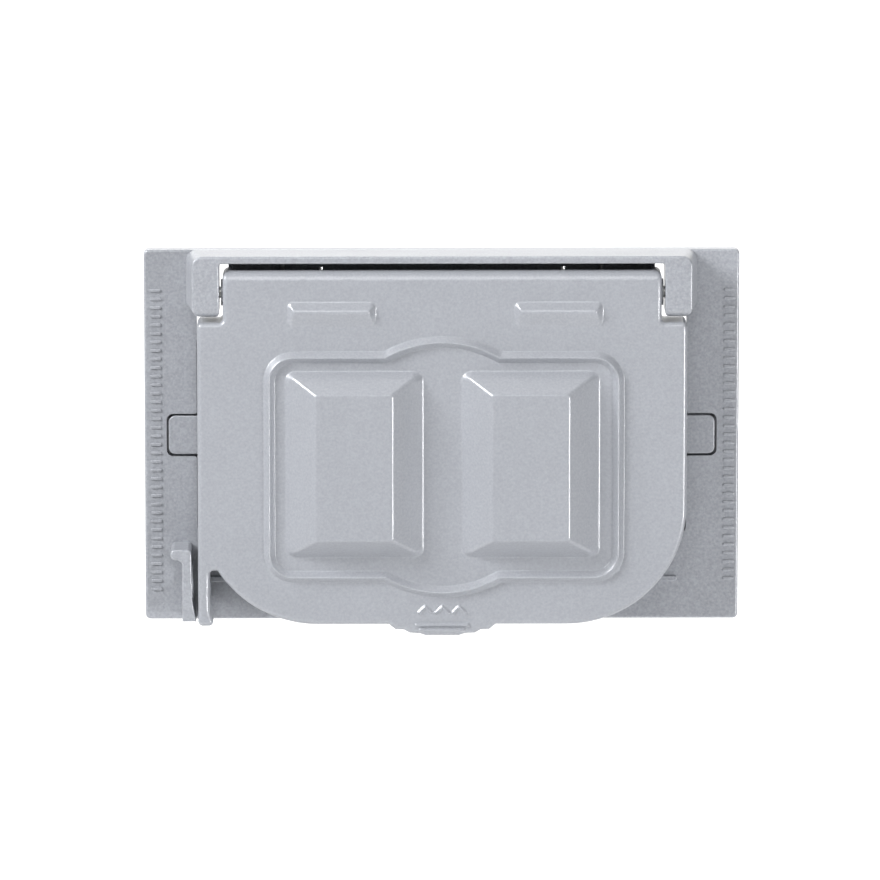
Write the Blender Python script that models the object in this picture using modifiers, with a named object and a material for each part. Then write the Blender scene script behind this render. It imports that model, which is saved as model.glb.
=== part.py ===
"""A horizontal weatherproof outlet cover: a sprung lid on a cast wall plate.

Frame: +X is right and +Z is up, as seen from the front, and the cover stands
out from the wall towards -Y.  The origin is the middle of the back face, which
lies on the wall.  Sizes are in millimetres, and a depth is a distance out from
the wall, so depth 5 is y = -0.005 in metres.
"""

import math

import bmesh
import bpy
from mathutils import Vector

MM = 0.001
GAP = 0.3                      # between pieces that touch
CIRCLE_STEPS = 32
SMALL_ARC_STEP = math.radians(22.5)
LARGE_ARC_STEP = math.radians(6)
LARGE_ARC_RADIUS = 8.0

# Wall plate
PLATE_WIDTH = 116.0
PLATE_HEIGHT = 73.0
PLATE_CORNER = 1.0
PLATE_EDGE_ROUND = 0.5
GASKET_THICKNESS = 1.6
PLATE_BACK = GASKET_THICKNESS + GAP
PLATE_FRONT = 5.0

# Hinge: the pin runs along X through both hinge blocks
PIN_Z = 29.0
PIN_DEPTH = 11.2
PIN_RADIUS = 1.1
PIN_HOLE_RADIUS = PIN_RADIUS + GAP

# Hood: a roof over the lid's top edge, with a hinge block at each end
HOOD_TOP = 36.45
HOOD_ROOF = 1.5
HOOD_FRONT = 15.0
HOOD_HALF_WIDTH = 49.9         # at the wall plate
HOOD_DRAFT = 1.4               # how far each end leans in on its way to the front
HOOD_CORNER = 2.0
BLOCK_INNER = 43.15
BLOCK_BOTTOM = 24.5
BLOCK_WALL = 1.65
BLOCK_EDGE_ROUND = 1.8         # front lower edge, which the lid's shoulder swings past

# Windows behind the hinge blocks, open right through the wall plate
WINDOW_INNER = 41.5
WINDOW_OUTER = 47.7
WINDOW_BOTTOM = 20.9
WINDOW_TOP = 34.3

# Lid
LID_FRONT = 15.4
LID_BACK = 5.8
LID_WALL = 1.8
LID_FACE = 1.6
LID_TOP = 33.6
LID_TOP_ROUND = 2.0
LID_NECK_HALF_WIDTH = 42.5     # between the hinge blocks
LID_SHOULDER = 23.5
LID_HALF_WIDTH = 47.5
LID_BOTTOM = -35.8
LID_CORNER = 23.3
LID_EDGE_ROUND = 0.8
KNUCKLE_RADIUS = 5.3           # back of the lid's hinge cheeks, round the pin
BOSS_RADIUS = 2.6
LID_LIP_HEIGHT = 3.0           # the lid's top is open behind its lip, down to this far below the edge
TAB_BACK = 12.4
TAB_RELIEF_HALF_WIDTH = 12.0

# Raised work on the lid
PAD_CENTRE_X = 17.1
PAD_CENTRE_Z = -4.2
PAD_BASE = (26.8, 36.5)
PAD_TOP = (14.9, 28.6)
PAD_HEIGHT = 4.8
PAD_EDGE_ROUND = 0.8
PAD_HOLLOW_OVERLAP = 0.2
BEAD_LEFT = -33.6
BEAD_RIGHT = 34.15
BEAD_TOP = 16.8
BEAD_BOTTOM = -26.3
BEAD_CORNER = 4.7
BEAD_BUMP_HALF_WIDTH = 11.1
BEAD_BUMP_RISE = 3.0
BEAD_RADIUS = 1.4
BEAD_SUNK = 0.75
BULGE_CENTRES_X = (-21.45, 22.55)
BULGE_LENGTH = 17.2
BULGE_TOP = 27.6
BULGE_RIDGE = 25.8
BULGE_BOTTOM = 22.8
BULGE_HEIGHT = 1.4

# Springs, one at each side, wound round the pin
SPRING_WIRE = 0.9
SPRING_RADIUS = PIN_RADIUS + GAP + SPRING_WIRE / 2
SPRING_TURNS = 6.25
SPRING_OUTER_X = 31.0
SPRING_INNER_X = 23.4
SPRING_STEPS = 14
SPRING_BEND = 1.0
FIXED_LEG_TOP = 33.9
FREE_LEG_BEND_Z = 31.6
FREE_LEG_TOP = 34.2
WEB_THICKNESS = 1.4
WEB_GAP = 0.9
WEB_BACK = 3.2                 # behind the pin
WEB_RISE = 2.6                 # above the pin
WEB_DROP = 3.4                 # below the pin
WEB_CORNER = 2.0

# Padlock ears at the lower left
LOCK_HOLE_RADIUS = 3.3
LOCK_HOLE_Z = -28.0
LOCK_HOLE_DEPTH = 10.0
PLATE_EAR_OUTER = -50.6
PLATE_EAR_INNER = -48.6
PLATE_EAR_FRONT = 14.6
PLATE_EAR_TOP = -21.1
PLATE_EAR_BOTTOM = -35.3
PLATE_EAR_LEDGE = 2.3          # how far the ledge stands out to the left
PLATE_EAR_LEDGE_HEIGHT = 2.1
PLATE_EAR_LEAN = 0.2
PLATE_EAR_FOOT = 0.7
PLATE_EAR_FOOT_HEIGHT = 4.0
LID_EAR_INNER = -45.2
LID_EAR_BOTTOM = -36.1
LID_EAR_FOOT = 1.0
LID_EAR_FOOT_HEIGHT = 3.0
LID_NOTCH_TOP = -25.2
LID_NOTCH_INNER = -43.7
LID_NOTCH_RUN = 0.9            # the notch leaves the lid's corner this far below the notch's top

# Adapter plate for a duplex receptacle
ADAPTER_HALF_WIDTH = 47.4
ADAPTER_HALF_HEIGHT = 19.6
ADAPTER_CORNER = 2.0
ADAPTER_FACE = 1.6
ADAPTER_STEP = 1.5             # the back of the adapter is narrower, and sits in the plate's opening
EAR_TIP = 53.3
EAR_HALF_HEIGHT = 3.8
EAR_CORNER = 1.3
EAR_ROOT = 0.5
POCKET_GAP = 0.4
RECEPTACLE_SPACING = 38.4
RECEPTACLE_RADIUS = 17.15
RECEPTACLE_HALF_WIDTH = 14.3

# Screws and their retaining washers
BOX_SCREW_X = 41.65
SCREW_RADIUS = 1.75
SCREW_HEAD_RADIUS = 3.5
SCREW_HEAD_HEIGHT = 1.75
SCREW_FACE = PLATE_FRONT - 0.1
SCREW_SLOT = (0.9, 0.8)        # width and depth
BOX_SCREW_LENGTH = 19.0
DEVICE_SCREW_LENGTH = 12.7
RETAINER_RADIUS = 3.6
RETAINER_THICKNESS = 0.8
RETAINER_BACK = 0.4

# Gaskets
WALL_GASKET_INSET = 0.7
LID_GASKET_WIDTH = 3.6
LID_GASKET_BACK = 5.9
LID_GASKET_TOP = 21.0
RIDGE_Z = -28.5
RIDGE_HEIGHT = 0.5
RIDGE_HALF_WIDTH = 46.0
RIDGE_HALF_THICKNESS = 0.6


# ---------------------------------------------------------------- outlines

def arc(centre, radius, start, sweep):
    """Points on an arc, both ends included; angles in radians."""
    step = LARGE_ARC_STEP if radius > LARGE_ARC_RADIUS else SMALL_ARC_STEP
    count = max(2, math.ceil(abs(sweep) / step))
    points = []
    for i in range(count + 1):
        angle = start + sweep * i / count
        points.append((centre[0] + radius * math.cos(angle), centre[1] + radius * math.sin(angle)))
    return points


def rounded(corners):
    """Turn (across, up, radius) corners into an outline with an arc at each corner."""
    outline = []
    for i, (across, up, radius) in enumerate(corners):
        here = Vector((across, up))
        if radius == 0:
            outline.append((across, up))
            continue
        before = (Vector(corners[i - 1][:2]) - here).normalized()
        after = (Vector(corners[(i + 1) % len(corners)][:2]) - here).normalized()
        half_angle = before.angle(after) / 2
        centre = here + (before + after).normalized() * (radius / math.sin(half_angle))
        reach = radius / math.tan(half_angle)
        start = here + before * reach - centre
        end = here + after * reach - centre
        sweep = math.atan2(start.x * end.y - start.y * end.x, start.dot(end))
        outline += arc(centre, radius, math.atan2(start.y, start.x), sweep)
    return outline


def mirrored(right_half):
    """Add the left half to corners that run down the right side."""
    return right_half + [(-across, up, radius) for across, up, radius in reversed(right_half)]


def rectangle(left, bottom, right, top, radius=0.0):
    corners = [(right, top, radius), (right, bottom, radius), (left, bottom, radius), (left, top, radius)]
    return rounded(corners)


def circle(centre, radius):
    return [
        (centre[0] + radius * math.cos(math.tau * i / CIRCLE_STEPS),
         centre[1] + radius * math.sin(math.tau * i / CIRCLE_STEPS))
        for i in range(CIRCLE_STEPS)
    ]


# ---------------------------------------------------------------- building blocks

def new_collection(name):
    collection = bpy.data.collections.new(name)
    bpy.context.scene.collection.children.link(collection)
    return collection


def add_object(name, mesh, collection):
    item = bpy.data.objects.new(name, mesh)
    collection.objects.link(item)
    if collection.name == "cutters":
        item.hide_render = True
        item.display_type = "WIRE"
    return item


def make_caps_plain(work):
    """Give an extruded outline a single face at each end."""
    caps = [face for face in work.faces if len({round(vert.co.z, 8) for vert in face.verts}) == 1]
    bmesh.ops.delete(work, geom=caps, context="FACES")
    rims = [edge for edge in work.edges if len(edge.link_faces) == 1]
    bmesh.ops.holes_fill(work, edges=rims, sides=0)


def curve_to_mesh(guide, collection, plain_caps=False):
    """Swap a curve object for a mesh object with welded caps, in the same place."""
    collection.objects.link(guide)
    bpy.context.view_layer.update()
    shown = guide.evaluated_get(bpy.context.evaluated_depsgraph_get())
    mesh = bpy.data.meshes.new_from_object(shown)
    work = bmesh.new()
    work.from_mesh(mesh)
    bmesh.ops.remove_doubles(work, verts=work.verts, dist=1e-6)
    if plain_caps:
        make_caps_plain(work)
    bmesh.ops.recalc_face_normals(work, faces=work.faces)
    work.to_mesh(mesh)
    work.free()
    name = guide.name
    place = guide.matrix_world.copy()
    bpy.data.objects.remove(guide)
    mesh.name = name
    item = add_object(name, mesh, collection)
    item.name = name
    item.matrix_world = place
    return item


def prism(name, outline, low, high, collection, facing="front"):
    """Extrude an outline: facing front it is (x, z) between depths, from the side (depth, z) along X."""
    curve = bpy.data.curves.new(name, "CURVE")
    curve.dimensions = "2D"
    curve.fill_mode = "BOTH"
    curve.extrude = (high - low) / 2 * MM
    spline = curve.splines.new("POLY")
    spline.points.add(len(outline) - 1)
    for point, (across, up) in zip(spline.points, outline):
        point.co = (across * MM, up * MM, 0, 1)
    spline.use_cyclic_u = True
    guide = bpy.data.objects.new(name, curve)
    middle = (low + high) / 2 * MM
    if facing == "front":
        guide.rotation_euler = (math.pi / 2, 0, 0)
        guide.location = (0, -middle, 0)
    else:
        guide.rotation_euler = (math.pi / 2, 0, -math.pi / 2)
        guide.location = (middle, 0, 0)
    return curve_to_mesh(guide, collection, plain_caps=True)


def wire(name, points, radius, collection, closed=False):
    """A round wire through (x, depth, z) points."""
    curve = bpy.data.curves.new(name, "CURVE")
    curve.dimensions = "3D"
    curve.bevel_depth = radius * MM
    curve.bevel_resolution = 2
    curve.use_fill_caps = True
    spline = curve.splines.new("POLY")
    spline.points.add(len(points) - 1)
    for point, (x, depth, z) in zip(spline.points, points):
        point.co = (x * MM, -depth * MM, z * MM, 1)
    spline.use_cyclic_u = closed
    return curve_to_mesh(bpy.data.objects.new(name, curve), collection)


def cylinder_x(name, depth, z, radius, left, right, collection):
    """A round bar along X."""
    bpy.ops.mesh.primitive_cylinder_add(
        vertices=CIRCLE_STEPS, radius=radius * MM, depth=(right - left) * MM,
        location=((left + right) / 2 * MM, -depth * MM, z * MM), rotation=(0, math.pi / 2, 0))
    return adopt(name, collection)


def adopt(name, collection):
    """Name the object that was just added and move it to a collection."""
    made = bpy.context.object
    mesh = made.data
    place = made.matrix_world.copy()
    bpy.data.objects.remove(made)
    mesh.name = name
    item = add_object(name, mesh, collection)
    item.matrix_world = place
    return item


def turned(name, profile, location, rotation, collection, ring=False):
    """Turn a (radius, height) profile, listed from the top down, round local Z; a ring's is closed."""
    mesh = bpy.data.meshes.new(name)
    vertices = [(radius * MM, 0, height * MM) for radius, height in profile]
    edges = [(i, i + 1) for i in range(len(profile) - 1)]
    if ring:
        edges.append((len(profile) - 1, 0))
    mesh.from_pydata(vertices, edges, [])
    item = add_object(name, mesh, collection)
    item.location = Vector(location) * MM
    item.rotation_euler = rotation
    screw = item.modifiers.new("turn", "SCREW")
    screw.steps = CIRCLE_STEPS
    screw.render_steps = CIRCLE_STEPS
    screw.use_merge_vertices = True
    screw.merge_threshold = 0.00001
    return item


def frustum(name, centre, base, top, back, front, collection):
    """A box that narrows from its base at the back to its top at the front."""
    mesh = bpy.data.meshes.new(name)
    work = bmesh.new()
    bmesh.ops.create_cube(work, size=1.0)
    for vert in work.verts:
        at_front = vert.co.y < 0
        width, height = top if at_front else base
        depth = front if at_front else back
        vert.co.x = (centre[0] + vert.co.x * width) * MM
        vert.co.y = -depth * MM
        vert.co.z = (centre[1] + vert.co.z * height) * MM
    work.to_mesh(mesh)
    work.free()
    return add_object(name, mesh, collection)


def round_edges(item, width, segments=2, chosen=None):
    """Bevel the sharp edges, or only those whose middle passes the test."""
    bevel = item.modifiers.new("rounded edges", "BEVEL")
    bevel.width = width * MM
    bevel.segments = segments
    if chosen is None:
        bevel.limit_method = "ANGLE"
        bevel.angle_limit = math.radians(30)
        return
    bevel.limit_method = "WEIGHT"
    weights = item.data.attributes.new("bevel_weight_edge", "FLOAT", "EDGE")
    to_world = item.matrix_world
    for edge in item.data.edges:
        ends = [to_world @ item.data.vertices[i].co / MM for i in edge.vertices]
        if chosen(ends[0]) and chosen(ends[1]):
            weights.data[edge.index].value = 1.0


def lean_in(item, beyond, amount):
    """Draft: bring the front of the outer sides towards the middle."""
    front = max(vert.co.z for vert in item.data.vertices)
    for vert in item.data.vertices:
        if vert.co.z == front and abs(vert.co.x) > beyond * MM:
            vert.co.x -= math.copysign(amount * MM, vert.co.x)


def at_depth(depth):
    """A test for the edges that lie at one depth."""
    return lambda point: abs(point.y + depth) < 0.01


def combine(item, operation, tools):
    for tool in tools:
        boolean = item.modifiers.new(tool.name, "BOOLEAN")
        boolean.operation = operation
        boolean.object = tool
        boolean.solver = "EXACT"


def paint(item, color, roughness, metallic=0.0):
    material = bpy.data.materials.new(item.name)
    material.use_nodes = True
    shader = material.node_tree.nodes["Principled BSDF"]
    shader.inputs["Base Color"].default_value = (*color, 1.0)
    shader.inputs["Roughness"].default_value = roughness
    shader.inputs["Metallic"].default_value = metallic
    item.data.materials.clear()
    item.data.materials.append(material)


def shade_round(item):
    item.data.shade_smooth()
    item.data.set_sharp_from_angle(angle=math.radians(35))


GREY_PAINT = (0.48, 0.50, 0.54)
BARE_STEEL = (0.62, 0.62, 0.60)
BLACK_RUBBER = (0.03, 0.03, 0.032)
BLACK_FOAM = (0.045, 0.045, 0.05)
WHITE_FIBRE = (0.75, 0.74, 0.70)


# ---------------------------------------------------------------- wall plate

def plate_outline(inset=0.0):
    across = PLATE_WIDTH / 2 - inset
    up = PLATE_HEIGHT / 2 - inset
    return rectangle(-across, -up, across, up, PLATE_CORNER)


def window_outline(side, margin=0.0):
    inner = side * (WINDOW_INNER - margin)
    outer = side * (WINDOW_OUTER + margin)
    left, right = sorted((inner, outer))
    return rectangle(left, WINDOW_BOTTOM - margin, right, WINDOW_TOP + margin, 0.6)


def adapter_outline(grow=0.0):
    corners = mirrored([
        (ADAPTER_HALF_WIDTH + grow, ADAPTER_HALF_HEIGHT + grow, ADAPTER_CORNER),
        (ADAPTER_HALF_WIDTH + grow, EAR_HALF_HEIGHT + grow, EAR_ROOT),
        (EAR_TIP + grow, EAR_HALF_HEIGHT + grow, EAR_CORNER),
        (EAR_TIP + grow, -EAR_HALF_HEIGHT - grow, EAR_CORNER),
        (ADAPTER_HALF_WIDTH + grow, -EAR_HALF_HEIGHT - grow, EAR_ROOT),
        (ADAPTER_HALF_WIDTH + grow, -ADAPTER_HALF_HEIGHT - grow, ADAPTER_CORNER),
    ])
    return rounded(corners)


def adapter_step_outline(grow=0.0):
    across = ADAPTER_HALF_WIDTH - ADAPTER_STEP + grow
    up = ADAPTER_HALF_HEIGHT - ADAPTER_STEP + grow
    return rectangle(-across, -up, across, up, ADAPTER_CORNER)


def make_hood(cutters):
    """Roof and hinge blocks, as one solid to join to the flange."""
    roof_under = HOOD_TOP - HOOD_ROOF
    outline = rounded(mirrored([
        (HOOD_HALF_WIDTH, HOOD_TOP, HOOD_CORNER),
        (HOOD_HALF_WIDTH, BLOCK_BOTTOM, HOOD_CORNER),
        (BLOCK_INNER, BLOCK_BOTTOM, 1.0),
        (BLOCK_INNER, roof_under, 0.5),
    ]))
    hood = prism("hood", outline, PLATE_FRONT - 1, HOOD_FRONT, cutters)
    lean_in(hood, BLOCK_INNER + BLOCK_WALL, HOOD_DRAFT)
    round_edges(hood, 0.4, 2, at_depth(HOOD_FRONT))
    beyond = HOOD_FRONT + 2
    side = rounded([
        (0, HOOD_TOP + 2, 0),
        (beyond, HOOD_TOP + 2, 0),
        (beyond, BLOCK_BOTTOM + BLOCK_EDGE_ROUND, 0),
    ])
    side += arc((HOOD_FRONT - BLOCK_EDGE_ROUND, BLOCK_BOTTOM + BLOCK_EDGE_ROUND),
                BLOCK_EDGE_ROUND, 0, -math.pi / 2)
    side += [(HOOD_FRONT - BLOCK_EDGE_ROUND, BLOCK_BOTTOM - 1), (0, BLOCK_BOTTOM - 1)]
    rounding = prism("hood_lower_edge", side, -HOOD_HALF_WIDTH - 2, HOOD_HALF_WIDTH + 2, cutters, "side")
    combine(hood, "INTERSECT", [rounding])
    return hood


def make_plate_ear(cutters):
    """Padlock ear of the wall plate: a wall with a ledge along its top."""
    ledge_end = PLATE_EAR_OUTER - PLATE_EAR_LEDGE
    ledge_bottom = PLATE_EAR_TOP - PLATE_EAR_LEDGE_HEIGHT
    outline = rounded([
        (ledge_end, PLATE_EAR_TOP, 1.0),
        (PLATE_EAR_INNER - PLATE_EAR_LEAN, PLATE_EAR_TOP, 0.9),
        (PLATE_EAR_INNER, PLATE_EAR_BOTTOM + PLATE_EAR_FOOT_HEIGHT, 3.0),
        (PLATE_EAR_INNER + PLATE_EAR_FOOT, PLATE_EAR_BOTTOM, 0.0),
        (PLATE_EAR_OUTER, PLATE_EAR_BOTTOM, 0.0),
        (PLATE_EAR_OUTER, ledge_bottom, 1.0),
        (ledge_end, ledge_bottom, 1.0),
    ])
    ear = prism("plate_ear", outline, PLATE_FRONT - 1, PLATE_EAR_FRONT, cutters)
    round_edges(ear, 0.3, 2, at_depth(PLATE_EAR_FRONT))
    return ear


def make_base_plate(parts, cutters):
    plate = prism("base_plate", plate_outline(), PLATE_BACK, PLATE_FRONT, parts)
    round_edges(plate, PLATE_EDGE_ROUND, 2, at_depth(PLATE_FRONT))
    ridge = prism("seat_ridge", rectangle(
        -RIDGE_HALF_WIDTH, RIDGE_Z - RIDGE_HALF_THICKNESS, RIDGE_HALF_WIDTH, RIDGE_Z + RIDGE_HALF_THICKNESS),
        PLATE_FRONT - 1, PLATE_FRONT + RIDGE_HEIGHT, cutters)
    combine(plate, "UNION", [make_hood(cutters), make_plate_ear(cutters), ridge])
    pocket_floor = PLATE_FRONT - ADAPTER_FACE - GAP
    beyond = PLATE_FRONT + 1
    tools = [
        prism("adapter_opening", adapter_step_outline(POCKET_GAP), 0, beyond, cutters),
        prism("adapter_pocket", adapter_outline(POCKET_GAP), pocket_floor, beyond, cutters),
        cylinder_x("pin_hole_in_blocks", PIN_DEPTH, PIN_Z, PIN_HOLE_RADIUS,
                   -WINDOW_OUTER + 1, WINDOW_OUTER - 1, cutters),
        cylinder_x("lock_hole_in_plate", LOCK_HOLE_DEPTH, LOCK_HOLE_Z, LOCK_HOLE_RADIUS,
                   PLATE_EAR_OUTER - 1, PLATE_EAR_INNER + 1, cutters),
    ]
    for side in (-1, 1):
        tools.append(prism(f"window_{side}", window_outline(side), 0, PLATE_FRONT + GAP, cutters))
        left, right = sorted((side * (BLOCK_INNER + BLOCK_WALL), side * WINDOW_OUTER))
        hollow = rectangle(left, BLOCK_BOTTOM + BLOCK_WALL, right, WINDOW_TOP)
        tools.append(prism(f"block_hollow_{side}", hollow, 1, HOOD_FRONT - BLOCK_WALL, cutters))
    combine(plate, "DIFFERENCE", tools)
    paint(plate, GREY_PAINT, 0.45, 0.3)


def make_wall_gasket(parts, cutters):
    gasket = prism("wall_gasket", plate_outline(WALL_GASKET_INSET), 0, GASKET_THICKNESS, parts)
    tools = [prism("wall_gasket_opening", adapter_step_outline(GAP), -1, GASKET_THICKNESS + 1, cutters)]
    for side in (-1, 1):
        outline = window_outline(side, GAP)
        tools.append(prism(f"gasket_window_{side}", outline, -1, GASKET_THICKNESS + 1, cutters))
    combine(gasket, "DIFFERENCE", tools)
    paint(gasket, BLACK_RUBBER, 0.85)


# ---------------------------------------------------------------- adapter, gasket and screws

def receptacle_outline(side, grow=0.0):
    """A circle with flat sides, round one face of a duplex receptacle."""
    radius = RECEPTACLE_RADIUS + grow
    half_width = RECEPTACLE_HALF_WIDTH + grow
    centre = (side * RECEPTACLE_SPACING / 2, 0)
    flat_angle = math.acos(half_width / radius)
    return (arc(centre, radius, math.pi - flat_angle, 2 * flat_angle - math.pi)
            + arc(centre, radius, -flat_angle, 2 * flat_angle - math.pi))


def make_adapter_plate(parts, cutters):
    face_back = PLATE_FRONT - ADAPTER_FACE
    plate = prism("adapter_plate", adapter_outline(), face_back, PLATE_FRONT, parts)
    step = prism("adapter_step", adapter_step_outline(), PLATE_BACK, PLATE_FRONT - ADAPTER_FACE / 2, cutters)
    combine(plate, "UNION", [step])
    tools = []
    for side in (-1, 1):
        tools.append(prism(f"receptacle_hole_{side}", receptacle_outline(side), 0, PLATE_FRONT + 1, cutters))
    for name, x in screw_places().items():
        tools.append(screw_body(f"{name}_hole", x, BOX_SCREW_LENGTH, cutters, GAP))
    combine(plate, "DIFFERENCE", tools)
    paint(plate, GREY_PAINT, 0.45, 0.3)


def make_device_gasket(parts, cutters):
    gasket = prism("device_gasket", adapter_step_outline(), 0, GASKET_THICKNESS, parts)
    tools = []
    for side in (-1, 1):
        outline = receptacle_outline(side, GAP)
        tools.append(prism(f"gasket_receptacle_{side}", outline, -1, GASKET_THICKNESS + 1, cutters))
    for name, x in screw_places().items():
        outline = circle((x, 0), RETAINER_RADIUS + GAP)
        tools.append(prism(f"gasket_{name}", outline, -1, GASKET_THICKNESS + 1, cutters))
    combine(gasket, "DIFFERENCE", tools)
    paint(gasket, BLACK_FOAM, 0.9)


def screw_places():
    return {"box_screw_left": -BOX_SCREW_X, "box_screw_right": BOX_SCREW_X, "device_screw": 0.0}


def screw_body(name, x, length, collection, grow=0.0):
    """A flat-head screw, or with grow its countersunk hole, on an axis along Y."""
    head = SCREW_HEAD_RADIUS + grow
    shank = SCREW_RADIUS + grow
    mouth = PLATE_FRONT + 1 if grow else SCREW_FACE
    taper_end = -SCREW_HEAD_HEIGHT
    profile = [(0, mouth - SCREW_FACE), (head, mouth - SCREW_FACE), (head, 0), (shank, taper_end),
               (shank, -length), (0, -length)]
    if not grow:
        point = 0.5
        profile = [(0, 0), (head, 0), (shank, taper_end), (shank, -length + point),
                   (shank - point, -length), (0, -length)]
    return turned(name, profile, (x, -SCREW_FACE, 0), (math.pi / 2, 0, 0), collection)


def make_screw(name, x, length, parts, cutters):
    screw = screw_body(name, x, length, parts)
    width, depth = SCREW_SLOT
    slot = prism(f"{name}_slot", rectangle(x - width / 2, -SCREW_HEAD_RADIUS - 1, x + width / 2,
                                           SCREW_HEAD_RADIUS + 1),
                 SCREW_FACE - depth, SCREW_FACE + 1, cutters)
    combine(screw, "DIFFERENCE", [slot])
    shade_round(screw)
    paint(screw, BARE_STEEL, 0.35, 0.9)


def make_retainer(name, x, parts):
    inner = SCREW_RADIUS + GAP
    top = RETAINER_THICKNESS
    profile = [(inner, 0), (inner, top), (RETAINER_RADIUS, top), (RETAINER_RADIUS, 0)]
    washer = turned(name, profile, (x, -RETAINER_BACK, 0), (math.pi / 2, 0, 0), parts, ring=True)
    shade_round(washer)
    paint(washer, WHITE_FIBRE, 0.7)


# ---------------------------------------------------------------- lid

def tab_corners():
    """Grip tab below the lid, stepping in twice to its tip."""
    steps = [(10.4, 0.0), (9.1, 1.05), (7.5, 1.1), (6.3, 1.75), (4.4, 1.85), (3.2, 2.25)]
    return [(across, LID_BOTTOM - drop, 0.0) for across, drop in steps]


def lid_outline():
    """The lid from the front, with the padlock ear and the grip tab."""
    beyond = LID_TOP + 1       # the side profile trims the top edge
    corner_x = LID_HALF_WIDTH - LID_CORNER
    corner_z = LID_BOTTOM + LID_CORNER
    right = rounded([
        (0, beyond, 0),
        (LID_NECK_HALF_WIDTH, beyond, 0),
        (LID_NECK_HALF_WIDTH, LID_SHOULDER, 0.8),
        (LID_HALF_WIDTH, LID_SHOULDER, 1.0),
        (LID_HALF_WIDTH, corner_z, 0),
    ])
    right += arc((corner_x, corner_z), LID_CORNER, 0, -math.pi / 2)
    tab = rounded(mirrored(tab_corners()))
    notch = math.asin((corner_z - LID_NOTCH_TOP + LID_NOTCH_RUN) / LID_CORNER)
    left = arc((-corner_x, corner_z), LID_CORNER, -math.pi / 2, notch - math.pi / 2)
    left += rounded([
        (-corner_x - LID_CORNER * math.cos(notch), corner_z - LID_CORNER * math.sin(notch), 0),
        (LID_NOTCH_INNER, LID_NOTCH_TOP, 0.6),
        (LID_EAR_INNER, LID_NOTCH_TOP, 0.7),
        (LID_EAR_INNER, LID_EAR_BOTTOM + LID_EAR_FOOT_HEIGHT, 2.0),
        (LID_EAR_INNER + LID_EAR_FOOT, LID_EAR_BOTTOM, 0.9),
        (-LID_HALF_WIDTH, LID_EAR_BOTTOM, 0.9),
        (-LID_HALF_WIDTH, LID_SHOULDER, 1.0),
        (-LID_NECK_HALF_WIDTH, LID_SHOULDER, 0.8),
        (-LID_NECK_HALF_WIDTH, beyond, 0),
    ])[1:]
    return right + tab + left


def lid_side_outline():
    """(depth, z): a rounded top edge, and cheeks that clear the plate as they turn round the pin."""
    low = LID_BOTTOM - 10
    beyond = LID_FRONT + 5
    round_depth = LID_FRONT - LID_TOP_ROUND
    round_z = LID_TOP - LID_TOP_ROUND
    outline = [(beyond, low), (beyond, round_z)]
    outline += arc((round_depth, round_z), LID_TOP_ROUND, 0, math.pi / 2)
    cheek_start = math.asin((LID_TOP - PIN_Z) / KNUCKLE_RADIUS)
    outline += arc((PIN_DEPTH, PIN_Z), KNUCKLE_RADIUS, math.pi - cheek_start, cheek_start)
    outline += [(PIN_DEPTH - KNUCKLE_RADIUS, PIN_Z - 2), (LID_BACK, PIN_Z - 3), (LID_BACK, low)]
    return outline


def lid_inner_outline(inset=0.0, top=None):
    """The hollow behind the lid's face; with top, only the wide part below that height."""
    wide = LID_HALF_WIDTH - LID_WALL - inset
    neck = LID_NECK_HALF_WIDTH - LID_WALL - inset
    bottom = LID_BOTTOM + LID_WALL + inset
    corner = LID_CORNER - LID_WALL - inset
    if top is not None:
        return rounded(mirrored([(wide, top, 1.0), (wide, bottom, corner)]))
    return rounded(mirrored([
        (neck, LID_TOP - LID_WALL, 0.5),
        (neck, LID_SHOULDER - LID_WALL, 0.8),
        (wide, LID_SHOULDER - LID_WALL, 0.5),
        (wide, bottom, corner),
    ]))


def bead_path():
    """Centreline of the bead: a rounded frame whose top and bottom swell out in an arc."""
    half = BEAD_BUMP_HALF_WIDTH
    bump_radius = (half ** 2 + BEAD_BUMP_RISE ** 2) / (2 * BEAD_BUMP_RISE)
    half_sweep = math.asin(half / bump_radius)
    centre_top = BEAD_TOP + BEAD_BUMP_RISE - bump_radius
    centre_bottom = BEAD_BOTTOM - BEAD_BUMP_RISE + bump_radius
    top = arc((0, centre_top), bump_radius, math.pi / 2 + half_sweep, -2 * half_sweep)
    bottom = arc((0, centre_bottom), bump_radius, half_sweep - math.pi / 2, -2 * half_sweep)
    sides = rounded([
        (BEAD_RIGHT, BEAD_TOP, BEAD_CORNER),
        (BEAD_RIGHT, BEAD_BOTTOM, BEAD_CORNER),
        (BEAD_LEFT, BEAD_BOTTOM, BEAD_CORNER),
        (BEAD_LEFT, BEAD_TOP, BEAD_CORNER),
    ])
    half_count = len(sides) // 2
    return top + sides[:half_count] + bottom + sides[half_count:]


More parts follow.
